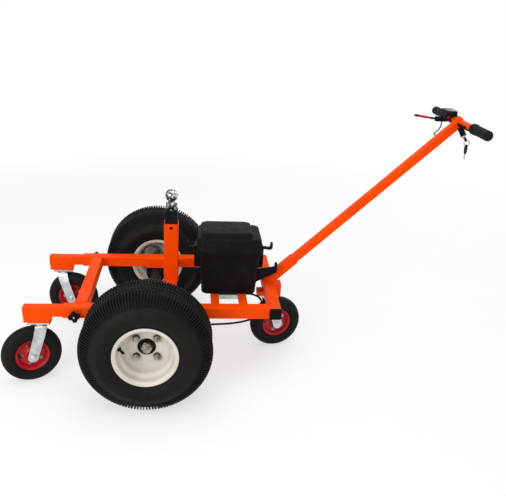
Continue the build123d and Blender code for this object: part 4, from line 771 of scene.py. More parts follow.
class MOVER_OT_drive_tyres(MoverOperator, bpy.types.Operator):
    """Turf tyres with rows of tread blocks"""

    bl_idname = "mover.drive_tyres"
    bl_label = "Drive tyres"

    # Half section of the carcass from the crown to the bead, and back inside, as (across, radius) in mm
    OUTER = (
        (0, 224.4), (36, 224), (52, 222.6), (66, 215), (76, 205.4), (84.5, 193), (94.5, 178.5),
        (101, 166), (103, 160), (102.4, 154), (101.4, 149.5), (99.4, 139), (92, 126), (87, 119.5),
        (82, 114.5), (80.6, 104),
    )
    INNER = ((61, 102.2), (61, 112), (90, 160), (62, 206), (38, 212), (0, 212))
    # Rows of blocks as (inner edge, outer edge, shift, skew), the last two in lug pitches, and their top
    ROWS = ((-9, 9, 0.0, 0.0), (15, 33, 0.5, 0.25), (-33, -15, 0.5, -0.25))
    ROW_TOP = 229.8
    # Crown line of the shoulder lugs, their shift and skew in pitches, and their depth against a block's
    SHOULDER = (
        (38, 229.8), (46, 232.4), (51, 233.5), (56, 232), (63, 228.4), (74, 219.4), (82, 207.5),
        (87.5, 194),
    )
    SHOULDER_SHIFT, SHOULDER_SKEW, SHOULDER_DEPTH = 0.06, 0.2, 1.7
    # How much narrower a block is at its top, how far it is sunk in the carcass, and its slant in mm
    TAPER, SUNK, SLANT = 0.8, 1.15, 0.6

    def execute(self, context):
        half = soften(self.OUTER, reach=9.0, steps=3) + [Vector(p) for p in self.INNER]
        for side, s in SIDES:
            place = axes(middle(f"tyre_{side}"), (0, s, 0))
            tyre = Shape().lathe(place, half + mirrored(half[1:-1]), steps=160)
            self.blocks(tyre, place)
            tyre.build(f"turf_tyre_{side}", f"drive_wheel_{side}", "tyre_rubber", node=f"tyre_{side}")
        return {"FINISHED"}

    def blocks(self, tyre, place):
        """Tread blocks in staggered rows, and lugs that run down both shoulders."""
        count = sizes().tread_lugs
        pitch = tau / count
        half = (1 - sizes().tread_gap) / 2 * pitch
        depth = sizes().tread_depth / MM
        for i in range(count):
            for low, high, shift, skew in self.ROWS:
                crown = ((low, self.ROW_TOP), (high, self.ROW_TOP))
                self.block(tyre, place, crown, (i + shift) * pitch, half, skew * pitch, depth)
            turn = (i + (0.0 if i % 2 else self.SHOULDER_SHIFT)) * pitch
            for s in (-1, 1):
                crown = [(s * a, r) for a, r in self.SHOULDER]
                skew = s * self.SHOULDER_SKEW * pitch
                self.block(tyre, place, crown, turn, half, skew, self.SHOULDER_DEPTH * depth)

    def block(self, tyre, place, crown, at, half, skew, depth):
        """One block under its crown line, narrower at its top."""
        start = crown[0][0]
        span = abs(crown[-1][0] - start)
        rings = []
        for end in (-half, half):
            top, foot = [], []
            for a, r in crown:
                turn = at + skew * (a - start) / span
                top.append(polar(r, turn + end * self.TAPER, a))
                inner = a - copysign(min(abs(a), self.SLANT), a)
                foot.append(polar(r - depth * self.SUNK, turn + end, inner))
            rings.append(top + foot[::-1])
        tyre.skin(place, rings)


class MOVER_OT_drive_rims(MoverOperator, bpy.types.Operator):
    """Deep-dish rims with lug nuts, axle nuts and valves"""

    bl_idname = "mover.drive_rims"
    bl_label = "Drive rims"

    # Closed sections as (across, radius) in mm, the barrel's outboard edge first
    BARREL = (
        (89, 113.2), (87.6, 115.4), (85, 114.6), (81.5, 103.5), (61, 101.4), (44, 88), (-44, 88),
        (-61, 101.4), (-81.5, 103.5), (-85, 114.6), (-87.6, 115.4), (-89, 113.2), (-86, 100),
        (-62, 97.8), (-46, 84.6), (40, 84.6), (48, 86.2), (60, 96.8), (64, 97.9), (82, 99), (86, 103),
    )
    DISC = (
        (6, 32.5), (10, 32.5), (10, 60), (13, 69), (24, 80), (40, 85.2), (36, 87), (18, 81), (8, 70),
        (6, 60),
    )
    # Bolts here and below are (count, radius of their circle, first angle)
    LUGS = (4, 50.8, 45)
    # Nuts and bolt heads here and below are (across the flats, low, high, edge)
    LUG_NUT = (20, 11, 26, 1.6)
    SEAT = ((9.8, 8), (9.8, 12.2), (10.5, 12.6), (11.2, 12), (11.8, 11), (11.8, 8))
    STUD = ((25, 0), (25, 6), (29.5, 6), (30.5, 5), (30.5, 0))
    WASHER = ((6, 12.7), (6, 32), (8.2, 32), (8.6, 31.4), (8.6, 12.7))
    CROWN, CROWN_LOW, CROWN_HIGH, CROWN_EDGE = (6, 14.0, 30), 19, 26, 0.6
    TOOTH_LENGTH, TOOTH_WIDTH, TOOTH_CORNER = 8.8, 12.8, 1
    PIN_RADIUS = 1.6
    SPLIT_PIN = ((-21, 0, 23.2), (-12, 0, 23.2), (12, 0, 23.2), (20, 0, 23.2), (22, 3, 24.5), (21, 8, 24.5))
    VALVE = (
        (-2, 0), (-2, 8), (1, 8.2), (3.5, 6.4), (6, 4.6), (15, 4.2), (16, 5.2), (27, 5.2), (28.5, 3.8),
        (28.8, 0),
    )
    VALVE_RADIUS, VALVE_DEPTH, VALVE_TURN, VALVE_LEAN = 92, 55, radians(80), 0.75

    def execute(self, context):
        coat("dull_steel", "hub_left", "hub_right", "half_shaft_left", "half_shaft_right")
        for side, s in SIDES:
            place = axes(middle(f"tyre_{side}"), (0, s, 0))
            body = f"drive_wheel_{side}"
            rim = Shape()
            for section, reach in ((self.BARREL, 4.0), (self.DISC, 6.0)):
                rim.lathe(place, soften(section, reach, steps=4, closed=True), steps=128)
            rim.build(f"dish_rim_{side}", body, "cream_paint", node=f"rim_{side}", smooth=50.0)
            self.lug_nuts(side, place, body)
            self.axle_nut(side, place, body)
            self.valve(side, place, body)
        return {"FINISHED"}

    def lug_nuts(self, side, place, body):
        """Lug nuts with stud ends, each on a pressed seat whose dark ring is painted shade round the nut.
        """
        nuts, seats = Shape(), Shape()
        for turn, spot in bolt_circle(place, *self.LUGS):
            seats.lathe(spot, self.SEAT, steps=32)
            nuts.nut(spot, self.LUG_NUT, turn).lathe(spot, self.STUD, steps=24)
        nuts.build(f"lug_nut_set_{side}", body, "dull_steel", "bare_steel", f"lug_nuts_{side}")
        # The dark seat rings are painted shade round the nuts
        seats.build(f"lug_seats_{side}", body, "dark_steel")

    def axle_nut(self, side, place, body):
        """Dark washer under the axle nut, and the nut's slotted crown with its split pin."""
        Shape().lathe(place, self.WASHER, steps=48).build(f"axle_washer_{side}", body, "dark_steel")
        nut = Shape()
        outline = rounded(self.TOOTH_LENGTH / 2, self.TOOTH_WIDTH / 2, self.TOOTH_CORNER, steps=2)
        for turn, spot in bolt_circle(place, *self.CROWN):
            tooth = spot @ Matrix.Rotation(turn, 4, "Z")
            nut.prism(tooth, outline, self.CROWN_LOW, self.CROWN_HIGH, self.CROWN_EDGE)
        nut.bar([place @ (Vector(p) * MM) for p in self.SPLIT_PIN], self.PIN_RADIUS * MM)
        nut.build(f"axle_nut_crown_{side}", body, "dull_steel", "bare_steel")

    def valve(self, side, place, body):
        """Rubber valve stem through the bowl of the rim, with its cap."""
        out, up = Vector(polar(1.0, self.VALVE_TURN)), Vector(UP)
        foot = (out * self.VALVE_RADIUS + up * self.VALVE_DEPTH) * MM
        here = place @ axes(foot, up - self.VALVE_LEAN * out, out)
        valve = Shape().lathe(here, self.VALVE, steps=24)
        valve.build(f"valve_{side}", body, "grip_rubber", "tyre_rubber")


class MOVER_OT_casters(MoverOperator, bpy.types.Operator):
    """Casters: pressed forks, bolted rims and ribbed tyres"""

    bl_idname = "mover.casters"
    bl_label = "Casters"

    # Fork, in mm from the floor below the swivel
    CROWN_Z, SPLAY_Z, AXLE_Z, TRAIL = 229.2, 190.0, 110.0, 38.0
    WALL, LEG_Y, CROWN_Y, LEG_HALF, CROWN_HALF = 4.2, 35.4, 26.9, 20.0, 22.0
    SOLE_RISE, BEND = 0.3, 9.0
    SOLE_TURNS = (0, 8, 20, 35, 50, 65, 80, 95)
    # Turned sections as (along, radius), from the crown or from the outside of a leg
    CROWN_RING = ((-4.2, 7.06), (-4.2, 23), (-3, 24), (-1, 24), (0, 23), (0, 7.06))
    AXLE_RADIUS = 6
    WASHER = ((0, 0), (0, 11.5), (0.4, 12), (1.4, 12), (1.8, 11.5), (1.8, 0))
    AXLE_NUT, NUT_TURN = (18.5, 1.8, 7, 0.9), 0.3
    BOLT_TIP = ((6.8, 0), (6.8, 7.2), (7.6, 6.6), (8, 4), (8, 0))
    # Half sections of the wheel, outboard side
    TYRE = (
        (0, 110), (4.8, 109.7), (5.8, 106.6), (8.2, 106.6), (9.2, 109), (15, 107.2), (21.5, 103.2),
        (25.6, 96), (27.4, 86), (26.2, 76), (22, 67), (18.8, 62.4), (16.8, 58.4),
    )
    RIM = (
        (33, 6.2), (33, 17), (14, 18.5), (10.5, 22), (5.5, 30), (5.5, 46), (9, 48.4), (17.5, 53.5),
        (20.4, 59), (22, 60.5), (22, 62), (19, 62), (17, 58), (11, 51),
    )
    BEARING = ((20, 17.2), (30, 17.2), (32.6, 15.4), (33, 14), (33, 8), (30, 8))
    RIM_BOLTS = (5, 38, 20)
    RIM_WASHER = ((5, 0), (5, 7), (6.6, 7), (6.6, 0))
    RIM_NUT = (10, 6.6, 11.5, 0.6)
    RIM_STUD = ((11, 0), (11, 3), (14, 3), (14.5, 2.4), (14.5, 0))
    VALVE = ((-1, 0), (-1, 5), (1, 5), (3, 3.2), (9, 3), (9.5, 3.8), (17, 3.8), (17.8, 3), (17.8, 0))
    VALVE_FOOT, VALVE_LEAN = (0, 49, 9), (0, -0.6, 1.0)

    def execute(self, context):
        for place in ("left", "right", "rear"):
            spin = JOINTS[f"caster_{place}_spin"]
            axle, up = Vector(spin["axis"]), Vector(UP)
            upright = Matrix((axle.cross(up), axle, up)).transposed().to_4x4()
            x, y, _ = JOINTS[f"caster_{place}_swivel"]["pos_m"]
            coat("zinc_plate", f"caster_{place}_plate")
            self.fork(place, Matrix.Translation((x, y, 0.0)) @ upright)
            self.wheel(place, axes(spin["pos_m"], axle))
        return {"FINISHED"}

    def fork(self, place, stand):
        """Pressed fork with its crown ring, axle bolt, washers and lock nut."""
        fork = Shape().skin(stand, self.bent_plate())
        fork.lathe(stand, [(self.CROWN_Z + a, r) for a, r in self.CROWN_RING], steps=48)
        axle = stand @ axes(Vector((self.TRAIL, 0, self.AXLE_Z)) * MM, RIGHT)
        half, radius = self.LEG_Y + self.WALL / 2, self.AXLE_RADIUS
        fork.lathe(axle, ((-half, 0), (-half, radius), (half, radius), (half, 0)), steps=24)
        for s in (-1, 1):
            end = axle @ facing(s) @ Matrix.Translation((0, 0, half * MM))
            fork.lathe(end, self.WASHER, steps=32).lathe(end, self.BOLT_TIP, steps=24)
            fork.nut(end, self.AXLE_NUT, self.NUT_TURN)
        node = f"caster_{place}_fork"
        fork.build(f"pressed_fork_{place}", f"caster_{place}", "zinc_plate", node=node, smooth=40.0)

    def bent_plate(self):
        """Rings along the fork's plate, from one foot over the crown to the other."""
        low, thick = self.AXLE_Z - self.LEG_HALF + self.SOLE_RISE, self.WALL / 2
        corners = [(-self.LEG_Y, low), (-self.LEG_Y, self.SPLAY_Z), (-self.CROWN_Y, self.CROWN_Z - thick)]
        line = soften(corners + mirrored(corners), self.BEND, steps=5)
        sole = [Vector((-self.LEG_Y, low + self.LEG_HALF * (1 - cos(radians(a))))) for a in self.SOLE_TURNS]
        rings = []
        for here, side in sideways(sole + line[1:-1] + mirrored(sole)):
            centre, half = self.leg(here.y)
            outer, inner = here + side * thick, here - side * thick
            corners = ((-half, outer), (half, outer), (half, inner), (-half, inner))
            rings.append([(centre + x, *p) for x, p in corners])
        return rings

    def leg(self, z):
        """Middle and half width of the fork's leg at a height."""
        rise = min(max(0.0, z - self.AXLE_Z) / (self.CROWN_Z - self.AXLE_Z), 1.0)
        half = self.LEG_HALF + (self.CROWN_HALF - self.LEG_HALF) * rise
        if z < self.AXLE_Z:
            half = sqrt(max(self.LEG_HALF**2 - (self.AXLE_Z - z) ** 2, 1.0))
        return self.TRAIL * (1 - rise), half

    def wheel(self, place, wheel):
        """Tyre, pressed rim, bearing rings, rim bolts and valve."""
        body = f"caster_{place}_wheel"
        section = soften([*self.TYRE, *mirrored(self.TYRE[1:])], reach=2.0, steps=2, closed=True)
        tyre = Shape().lathe(wheel, section, steps=112)
        tyre.build(f"ribbed_tyre_{place}", body, "tyre_rubber", node=f"caster_{place}_tyre")
        section = soften([*self.RIM, *mirrored(self.RIM)], reach=1.6, steps=3, closed=True)
        rim = Shape().lathe(wheel, section, steps=96)
        rim.build(f"pressed_rim_{place}", body, "red_paint", node=f"caster_{place}_rim", smooth=45.0)
        metal = Shape()
        for s in (-1, 1):
            face = wheel @ facing(s)
            metal.lathe(face, self.BEARING, steps=40)
            for turn, spot in bolt_circle(face, *self.RIM_BOLTS):
                metal.lathe(spot, self.RIM_WASHER, steps=24).lathe(spot, self.RIM_STUD, steps=16)
                metal.nut(spot, self.RIM_NUT, turn)
        metal.build(f"rim_bolts_{place}", body, "dull_steel", "zinc_plate")
        here = wheel @ axes(Vector(self.VALVE_FOOT) * MM, self.VALVE_LEAN, REAR)
        valve = Shape().lathe(here, self.VALVE, steps=20)
        valve.build(f"caster_valve_{place}", body, "grip_rubber", "tyre_rubber")


class MOVER_OT_clamp_knobs(MoverOperator, bpy.types.Operator):
    """Four-lobed clamp knobs on the rails and the post"""

    bl_idname = "mover.clamp_knobs"
    bl_label = "Clamp knobs"

    KNOBS = {
        "arm_knob_left": "arm_left_knob_turn",
        "arm_knob_right": "arm_right_knob_turn",
        "post_knob": "post_knob_turn",
    }
    # Radius of a lobe, of the circle the lobes stand on and of the core
    LOBE, CIRCLE, CORE = 9.5, 13.0, 12.0
    LOBES, FIRST_LOBE = 4, radians(10)
    STEPS, BLUR = 96, 2
    # Height and share of the full outline, from the neck to the recessed cap
    LEVELS = (
        (8.0, 0.80), (8.6, 0.90), (10.0, 0.97), (12.0, 1.0), (20.0, 1.0), (22.4, 0.97), (24.0, 0.90),
        (25.0, 0.78), (25.0, 0.50), (24.2, 0.46),
    )
    TOP = 25.0
    NECK = ((0, 0), (0, 8.6), (0.6, 9), (5, 9), (8.4, 10.5), (8.4, 0))
    STUD_RADIUS, STUD_END, STUD_CHAMFER = 4, 25.4, 0.8

    def execute(self, context):
        for node, joint in self.KNOBS.items():
            self.knob(node, JOINTS[joint])
        return {"FINISHED"}

    def lobed(self, turn):
        """Radius of the knob's outline in a direction."""
        best = self.CORE
        for lobe in turns(self.LOBES, self.FIRST_LOBE):
            miss, ahead = self.CIRCLE * sin(turn - lobe), self.CIRCLE * cos(turn - lobe)
            if abs(miss) < self.LOBE and ahead > 0:
                best = max(best, ahead + sqrt(self.LOBE**2 - miss**2))
        return best

    def knob(self, node, joint):
        """One knob with its neck, and the stud moulded in it."""
        place = axes(joint["pos_m"], joint["axis"], REAR)
        around = turns(self.STEPS)
        raw = [self.lobed(t) for t in around]
        blur = range(-self.BLUR, self.BLUR + 1)
        outline = [sum(raw[(i + k) % self.STEPS] for k in blur) / len(blur) for i in range(self.STEPS)]
        rings = [[polar(r * share, t, z) for r, t in zip(outline, around)] for z, share in self.LEVELS]
        knob = Shape().skin(place, rings).lathe(place, self.NECK, steps=40)
        knob.build(f"{node}_star", joint["child"], "black_plastic", node=node, smooth=40.0)
        low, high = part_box(node)
        start = self.TOP - abs(abs(high.y) - abs(low.y)) / MM
        radius, end, cut = self.STUD_RADIUS, self.STUD_END, self.STUD_CHAMFER
        line = [(start, 0), (start, radius - cut), (start + cut, radius)]
        line += [(end - cut, radius), (end, radius - cut), (end, 0)]
        Shape().lathe(place, line, steps=24).build(f"{node}_stud", joint["child"], "bare_steel")


class MOVER_OT_ball_post(MoverOperator, bpy.types.Operator):
    """Sliding ball tube and chromed tow ball"""

    bl_idname = "mover.ball_post"
    bl_label = "Ball post"

    # Turned sections as (height over the tube, radius) in mm
    WASHER = ((0, 0), (0, 20.4), (0.6, 21), (3.4, 21), (4, 20.4), (4, 0))
    NECK = ((27, 0), (27.8, 17), (29, 15.8), (31, 14.1), (33.5, 13.5), (35.5, 13.7))
    BALL_Z, BALL_RADIUS = 57.04, 25.0
    FLAT = ((80.04, 9.0), (80.04, PINHOLE))
    # Round part of the ball in degrees above its middle, from the neck to the flat top
    BALL_START, BALL_SWEEP, BALL_STEPS = -57, 124, 24
    HEX, LOCK_NUT, NUT_DROP = (38.1, 4, 28, 1.8), (32, 0, 18, 1.2), 8

    def execute(self, context):
        coat("black_paint", "ball_tube")
        x, top = middle("ball_tube").x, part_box("ball_tube")[1].z
        place = axes((x, 0, top), UP, REAR)
        ball = Shape().lathe(place, self.WASHER, steps=48).nut(place, self.HEX)
        line = list(self.NECK)
        for k in range(self.BALL_STEPS + 1):
            lift = radians(self.BALL_START + self.BALL_SWEEP * k / self.BALL_STEPS)
            line.append((self.BALL_Z + self.BALL_RADIUS * sin(lift), self.BALL_RADIUS * cos(lift)))
        ball.lathe(place, [*line, *self.FLAT], steps=64)
        under = axes((x, 0, top - self.NUT_DROP * MM), (0, 0, -1), REAR)
        ball.nut(under, self.LOCK_NUT)
        ball.build("chrome_ball", "ball_post", "chrome_plate", node="tow_ball", smooth=40.0)
        return {"FINISHED"}


class MOVER_OT_battery_box(MoverOperator, bpy.types.Operator):
    """Moulded battery box, its lid, the hooks and the battery inside"""

    bl_idname = "mover.battery_box"
    bl_label = "Battery box"

    # Base as (z, half length, half width, corner) in mm: outside from the bottom up, then inside
    BASE = (
        (279.5, 100, 80, 20), (279.5, 106, 86, 24), (283, 108.3, 88.3, 24), (322, 110.6, 90.2, 24),
        (324, 111.6, 91.2, 24), (342, 112.8, 92.2, 24), (344, 112.2, 91.6, 24), (444, 119, 97.2, 24),
        (448.5, 121, 99, 25), (450, 129.5, 102, 26), (452, 131, 103, 26), (455.5, 131, 103, 26),
        (457.4, 129.8, 101.8, 25), (457.4, 116.5, 94.5, 22), (455, 115.9, 93.9, 21),
        (283.5, 104, 84, 20),
    )
    # Lid with a shift along the machine as well: its inside from the crown down, then its outside up
    LID = (
        (529.5, 90, 68, 18, -12), (510, 95, 71, 20, -12), (509.5, 112, 81.5, 20, 0),
        (472, 115.9, 93.9, 20, 0), (457.6, 116.5, 94.5, 22, 0), (457.6, 127, 99, 24, 0),
        (459, 129, 101, 25, 0), (469, 129, 101, 25, 0), (471.5, 128, 99.8, 25, 0),
        (473, 126.9, 98.9, 24, 0), (506, 124.7, 94.5, 24, 0), (510.5, 123.4, 92.8, 25, 0),
        (513, 120.5, 89.5, 26, -0.5), (513.8, 117.5, 86.5, 26, -1.5), (514.4, 104.5, 82.3, 25, -12),
        (516.5, 102.6, 80.6, 24, -12), (526, 101, 77.5, 24, -12), (531, 98.6, 74.6, 24, -12),
        (533, 95, 71, 23, -12), (533.5, 88, 65, 21, -12),
    )
    # Hooks as (out, up) in mm, where they start and how far they reach across
    BASE_HOOK = ((0, 0), (88, 46), (88, 86), (79, 86), (78, 68), (0, 54))
    LID_HOOK = ((0, 4.5), (36, 0), (43, 3), (46, 10), (46, 30), (37, 30), (36, 13), (32, 9.5), (0, 13.5))
    BASE_HOOK_AT, LID_HOOK_AT = (106, 319.5), (125, 462.5)
    HOOK_Y, HOOK_WIDTH, HOOK_ROUND, HOOK_EDGE = -47, 16, 3.5, 1.6
    # End grip as (height, start on the wall), its reach, half width, wall and bend
    GRIP_LEVELS = ((377.5, 114.0), (379.0, 113.0), (420.0, 115.8), (457.0, 118.0))
    GRIP_REACH, GRIP_HALF, GRIP_WALL, GRIP_BEND = 139.0, 40.0, 4.0, 8.0
    COVER_START, COVER_LOW, COVER_HIGH, COVER_EDGE = 118, 449.5, 457.3, 1.0

    def execute(self, context):
        coat("battery_plastic", "battery")
        coat("cast_alloy", "controller")
        place = Matrix.Translation((middle("battery").x, 0, 0))
        base = Shape().stack(place, [(*level, 0) for level in self.BASE])
        lid = Shape().stack(place, self.LID)
        self.hook(base, place, *self.BASE_HOOK_AT, self.BASE_HOOK)
        out, up = self.LID_HOOK_AT
        for s, line in ((-1, mirrored(self.LID_HOOK)), (1, self.LID_HOOK)):
            self.end_grip(base, place @ facing(s, "Z"))
            self.hook(lid, place, s * out, up, line)
        base.build("moulded_base", "frame", "black_plastic", node="battery_base", smooth=30.0)
        lid.build("moulded_lid", "battery_lid_body", "black_plastic", node="battery_lid", smooth=30.0)
        return {"FINISHED"}

    def bay(self, start, reach, half):
        """Outline that stands out from the wall."""
        return (start, -half), (reach, -half), (reach, half), (start, half)

    def end_grip(self, shape, place):
        """Finger grip under the lip: a bent wall open below, closed by the lip above."""
        reach, half, wall, bend = self.GRIP_REACH, self.GRIP_HALF, self.GRIP_WALL, self.GRIP_BEND
        rings = []
        for z, start in self.GRIP_LEVELS:
            outer = soften(self.bay(start, reach, half), bend, steps=4)
            inner = soften(self.bay(start, reach - wall, half - wall), bend - wall, steps=4)
            rings.append([(*p, z) for p in outer + inner[::-1]])
        shape.skin(place, rings)
        cover = soften(self.bay(self.COVER_START, reach, half), bend, steps=4, closed=True)
        shape.prism(place, cover, self.COVER_LOW, self.COVER_HIGH, self.COVER_EDGE)

    def hook(self, shape, place, x, z, line):
        """Moulded hook, flat across the machine."""
        here = place @ axes(Vector((x, self.HOOK_Y, z)) * MM, LEFT, REAR)
        outline = soften(line, self.HOOK_ROUND, steps=3, closed=True)
        shape.prism(here, outline, 0, self.HOOK_WIDTH, self.HOOK_EDGE)


class MOVER_OT_drive_unit(MoverOperator, bpy.types.Operator):
    """Motor, gear case and gears under the frame, with their bolts"""

    bl_idname = "mover.drive_unit"
    bl_label = "Drive unit"

    FLANGE_Y = 42 * MM
    # Bolts and their heads
    MOTOR_BOLTS, MOTOR_HEAD = (4, 40, 45), (10, -0.5, 4.5, 0.5)
    FLANGE_BOLTS, FLANGE_HEAD = (6, 44, 30), (10, -0.5, 5, 0.5)
    BAND = ((-5, 55), (-4, 56.8), (4, 56.8), (5, 55))
    BAND_PLACES = (12, 64, 116)

    def execute(self, context):
        coat("case_metal", "gear_case_left", "gear_case_right")
        coat("black_paint", "motor_can")
        coat("bare_steel", "rotor", "counter_gear", "differential_gear")
        low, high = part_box("motor_can")
        x, _, z = JOINTS["rotor_spin"]["pos_m"]
        axle_x, _, axle_z = JOINTS["differential_spin"]["pos_m"]
        motor_end = axes((x, low.y, z), LEFT)
        flange = axes((axle_x, self.FLANGE_Y, axle_z), RIGHT)
        bolts, bands = Shape(), Shape()
        for _, spot in bolt_circle(motor_end, *self.MOTOR_BOLTS):
            bolts.nut(spot, self.MOTOR_HEAD)
        for _, spot in bolt_circle(flange, *self.FLANGE_BOLTS):
            bolts.nut(spot, self.FLANGE_HEAD)
        bolts.build("case_bolts", "frame", "zinc_plate", "bare_steel")
        for y in self.BAND_PLACES:
            bands.lathe(axes((x, high.y - y * MM, z), LEFT), self.BAND, steps=72)
        bands.build("motor_bands", "frame", "black_paint")
        return {"FINISHED"}


class MOVER_OT_hand_controls(MoverOperator, bpy.types.Operator):
    """Grips, throttle, display, brake lever, key switch and cables on the T-bar"""

    bl_idname = "mover.hand_controls"
    bl_label = "Hand controls"

    BAR_RADIUS = 12.75
    # Grips as (node, name, body, side, radius)
    GRIPS = (
        ("throttle_grip", "twist_rubber", "throttle_body", -1, 18.5),
        ("grip", "plain_rubber", "frame", 1, 17.0),
    )
    # Section of a grip: (along, drop) of its flange, a rib in pitches, and (back, drop) of its end
    FLANGE = ((0, 0), (2.6, 0), (4, 1.4))
    RIB = ((0, 1.5), (0.25, 0), (0.7, 0), (0.95, 1.5))
    GRIP_END = ((8, 0), (4, 0), (1, 2), (0, 5))
    RIB_MARGIN, END_WALL = 9.0, 2.8
    THROTTLE = (
        (0, 12.75), (0, 17.5), (2, 19.5), (5, 20.3), (13, 20.4), (13.6, 19.7), (14.4, 19.7), (15, 20.4),
        (23, 20.3), (26, 19.6), (28, 18.2), (28, 12.75),
    )
    SCREW = ((0, 0), (0, 3.4), (0.8, 3.2), (0.9, 0))
    SCREW_PLACES, SCREW_OUT = (7, 21), -19.6
    # Screen and lamp, from the T-bar and the middle of the machine
    SCREEN_X, SCREEN_Y, LAMP_X, LAMP_Y = -19, 68, -14, 40
    GLASS, GLASS_LOW, GLASS_HIGH, GLASS_EDGE = (13.6, 25.6, 3.6), -1.2, -0.3, 0.3
    LAMP = ((-0.6, 0), (-0.6, 3.2), (0.3, 3.0), (0.8, 1.6), (0.9, 0))
    # Foot of the button, and its face from its front edge
    BUTTON_FOOT = ((0, 0), (0, 6.5))
    BUTTON = ((-2, 6.5), (-0.6, 5.8), (0, 4.4), (-0.4, 2), (-0.5, 0))
    # Lever as (x, y, half width, half height) from its pivot, and the stretch that the sleeve covers
    LEVER = (
        (0, 0, 10, 4.5), (-12, 9, 8, 4.5), (-24, 17, 6.6, 4.4), (-40, 34, 6.0, 4.2),
        (-56, 52, 6.2, 4.2), (-70, 67, 6.8, 4.6),
    )
    SLEEVE_START, SLEEVE_END, SLEEVE_WALL, LEVER_HEIGHT = -28, -60, 0.9, 5.2
    LEVER_ROOT = ((-4.5, 3.05), (-4.5, 9.4), (-3.9, 10), (3.9, 10), (4.5, 9.4), (4.5, 3.05))
    LEVER_STEPS = 20
    LEVER_TIP, TIP_HEIGHT, TIP_RADIUS = (-70, 67, 0), 4.6, 7.0
    PIVOT_SCREW, PIVOT_SCREW_Z = (8, -0.2, 2.6, 0.4), 8.8
    # Key switch: its length, and what hangs below its face
    SWITCH_LENGTH, BOW_DROP, RING_DROP = 36, 12.3, 31.3
    BEZEL = ((-5, 11), (-5, 12.2), (-0.6, 12.2), (0.2, 11.4), (0.2, 4.2), (-1, 3.4), (-1, 3.1), (-5, 3.1))
    BOW_RADIUS, BOW_HALF, SPARE_HALF, HEAD_EDGE = 12.2, 2.6, 2.4, 0.8
    SPARE_HEAD = (
        (20, -4.5), (24, -7), (34, -11), (48, -11), (57, -6), (57, 6), (48, 11), (34, 11), (24, 7),
        (20, 4.5),
    )

    def execute(self, context):
        coat("cable_rubber", "lever_cable", "motor_cable")
        coat("black_plastic", "brake_perch", "display_pod", "key_switch")
        coat("bare_steel", "key")
        bar = middle("throttle_housing")
        self.grips(bar)
        self.throttle(bar)
        self.display(bar)
        self.button()
        self.lever()
        self.keys()
        return {"FINISHED"}

    def ribbed(self, length, radius):
        """Section of a ribbed grip from its flange to its rounded end, as (along, radius) in mm."""
        line = [(0, self.BAR_RADIUS), *((along, radius - drop) for along, drop in self.FLANGE)]
        pitch = (length - 2 * self.RIB_MARGIN) / sizes().grip_ribs
        for k in range(sizes().grip_ribs):
            line += [(self.RIB_MARGIN + (k + step) * pitch, radius - drop) for step, drop in self.RIB]
        line += [(length - back, radius - drop) for back, drop in self.GRIP_END]
        inside = length - self.END_WALL
        return [*line, (length, PINHOLE), (inside, PINHOLE), (inside, self.BAR_RADIUS)]

    def grips(self, bar):
        """Ribbed rubber on both ends of the T-bar."""
        for node, name, body, s, radius in self.GRIPS:
            low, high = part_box(node)
            place = axes((bar.x, high.y if s < 0 else low.y, bar.z), (0, s, 0))
            rubber = Shape().lathe(place, self.ribbed((high.y - low.y) / MM, radius), steps=56)
            rubber.build(name, body, "grip_rubber", node=node, smooth=50.0)

    def throttle(self, bar):
        """Two-part throttle body with a seam and clamp screws."""
        place = axes((bar.x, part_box("throttle_housing")[1].y, bar.z), LEFT)
        body = Shape().lathe(place, self.THROTTLE, steps=56)
        for along in self.SCREW_PLACES:
            screw = place @ axes(Vector((self.SCREW_OUT, 0, along)) * MM, (-1, 0, 0), RIGHT)
            body.lathe(screw, self.SCREW, steps=20)
        body.build("throttle_body_shell", "frame", "black_plastic", node="throttle_housing")

    def display(self, bar):
        """Screen glass and lamp on the display."""
        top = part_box("display_pod")[1].z
        place = axes((bar.x + self.SCREEN_X * MM, self.SCREEN_Y * MM, top), UP, REAR)
        glass = Shape().prism(place, rounded(*self.GLASS), self.GLASS_LOW, self.GLASS_HIGH, self.GLASS_EDGE)
        glass.build("display_glass", "frame", "screen_glass", "black_plastic")
        place = axes((bar.x + self.LAMP_X * MM, self.LAMP_Y * MM, top), UP, REAR)
        lamp = Shape().lathe(place, self.LAMP, steps=24)
        lamp.build("display_lamp", "frame", "lamp_cover", "black_plastic")

    def button(self):
        """Red push button."""
        low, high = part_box("push_button")
        centre = middle("push_button")
        length = (high.y - low.y) / MM
        line = [*self.BUTTON_FOOT, *((length + a, r) for a, r in self.BUTTON)]
        button = Shape().lathe(axes((centre.x, high.y, centre.z), LEFT), line, steps=32)
        button.build("red_button", "button_body", "red_plastic", node="push_button")

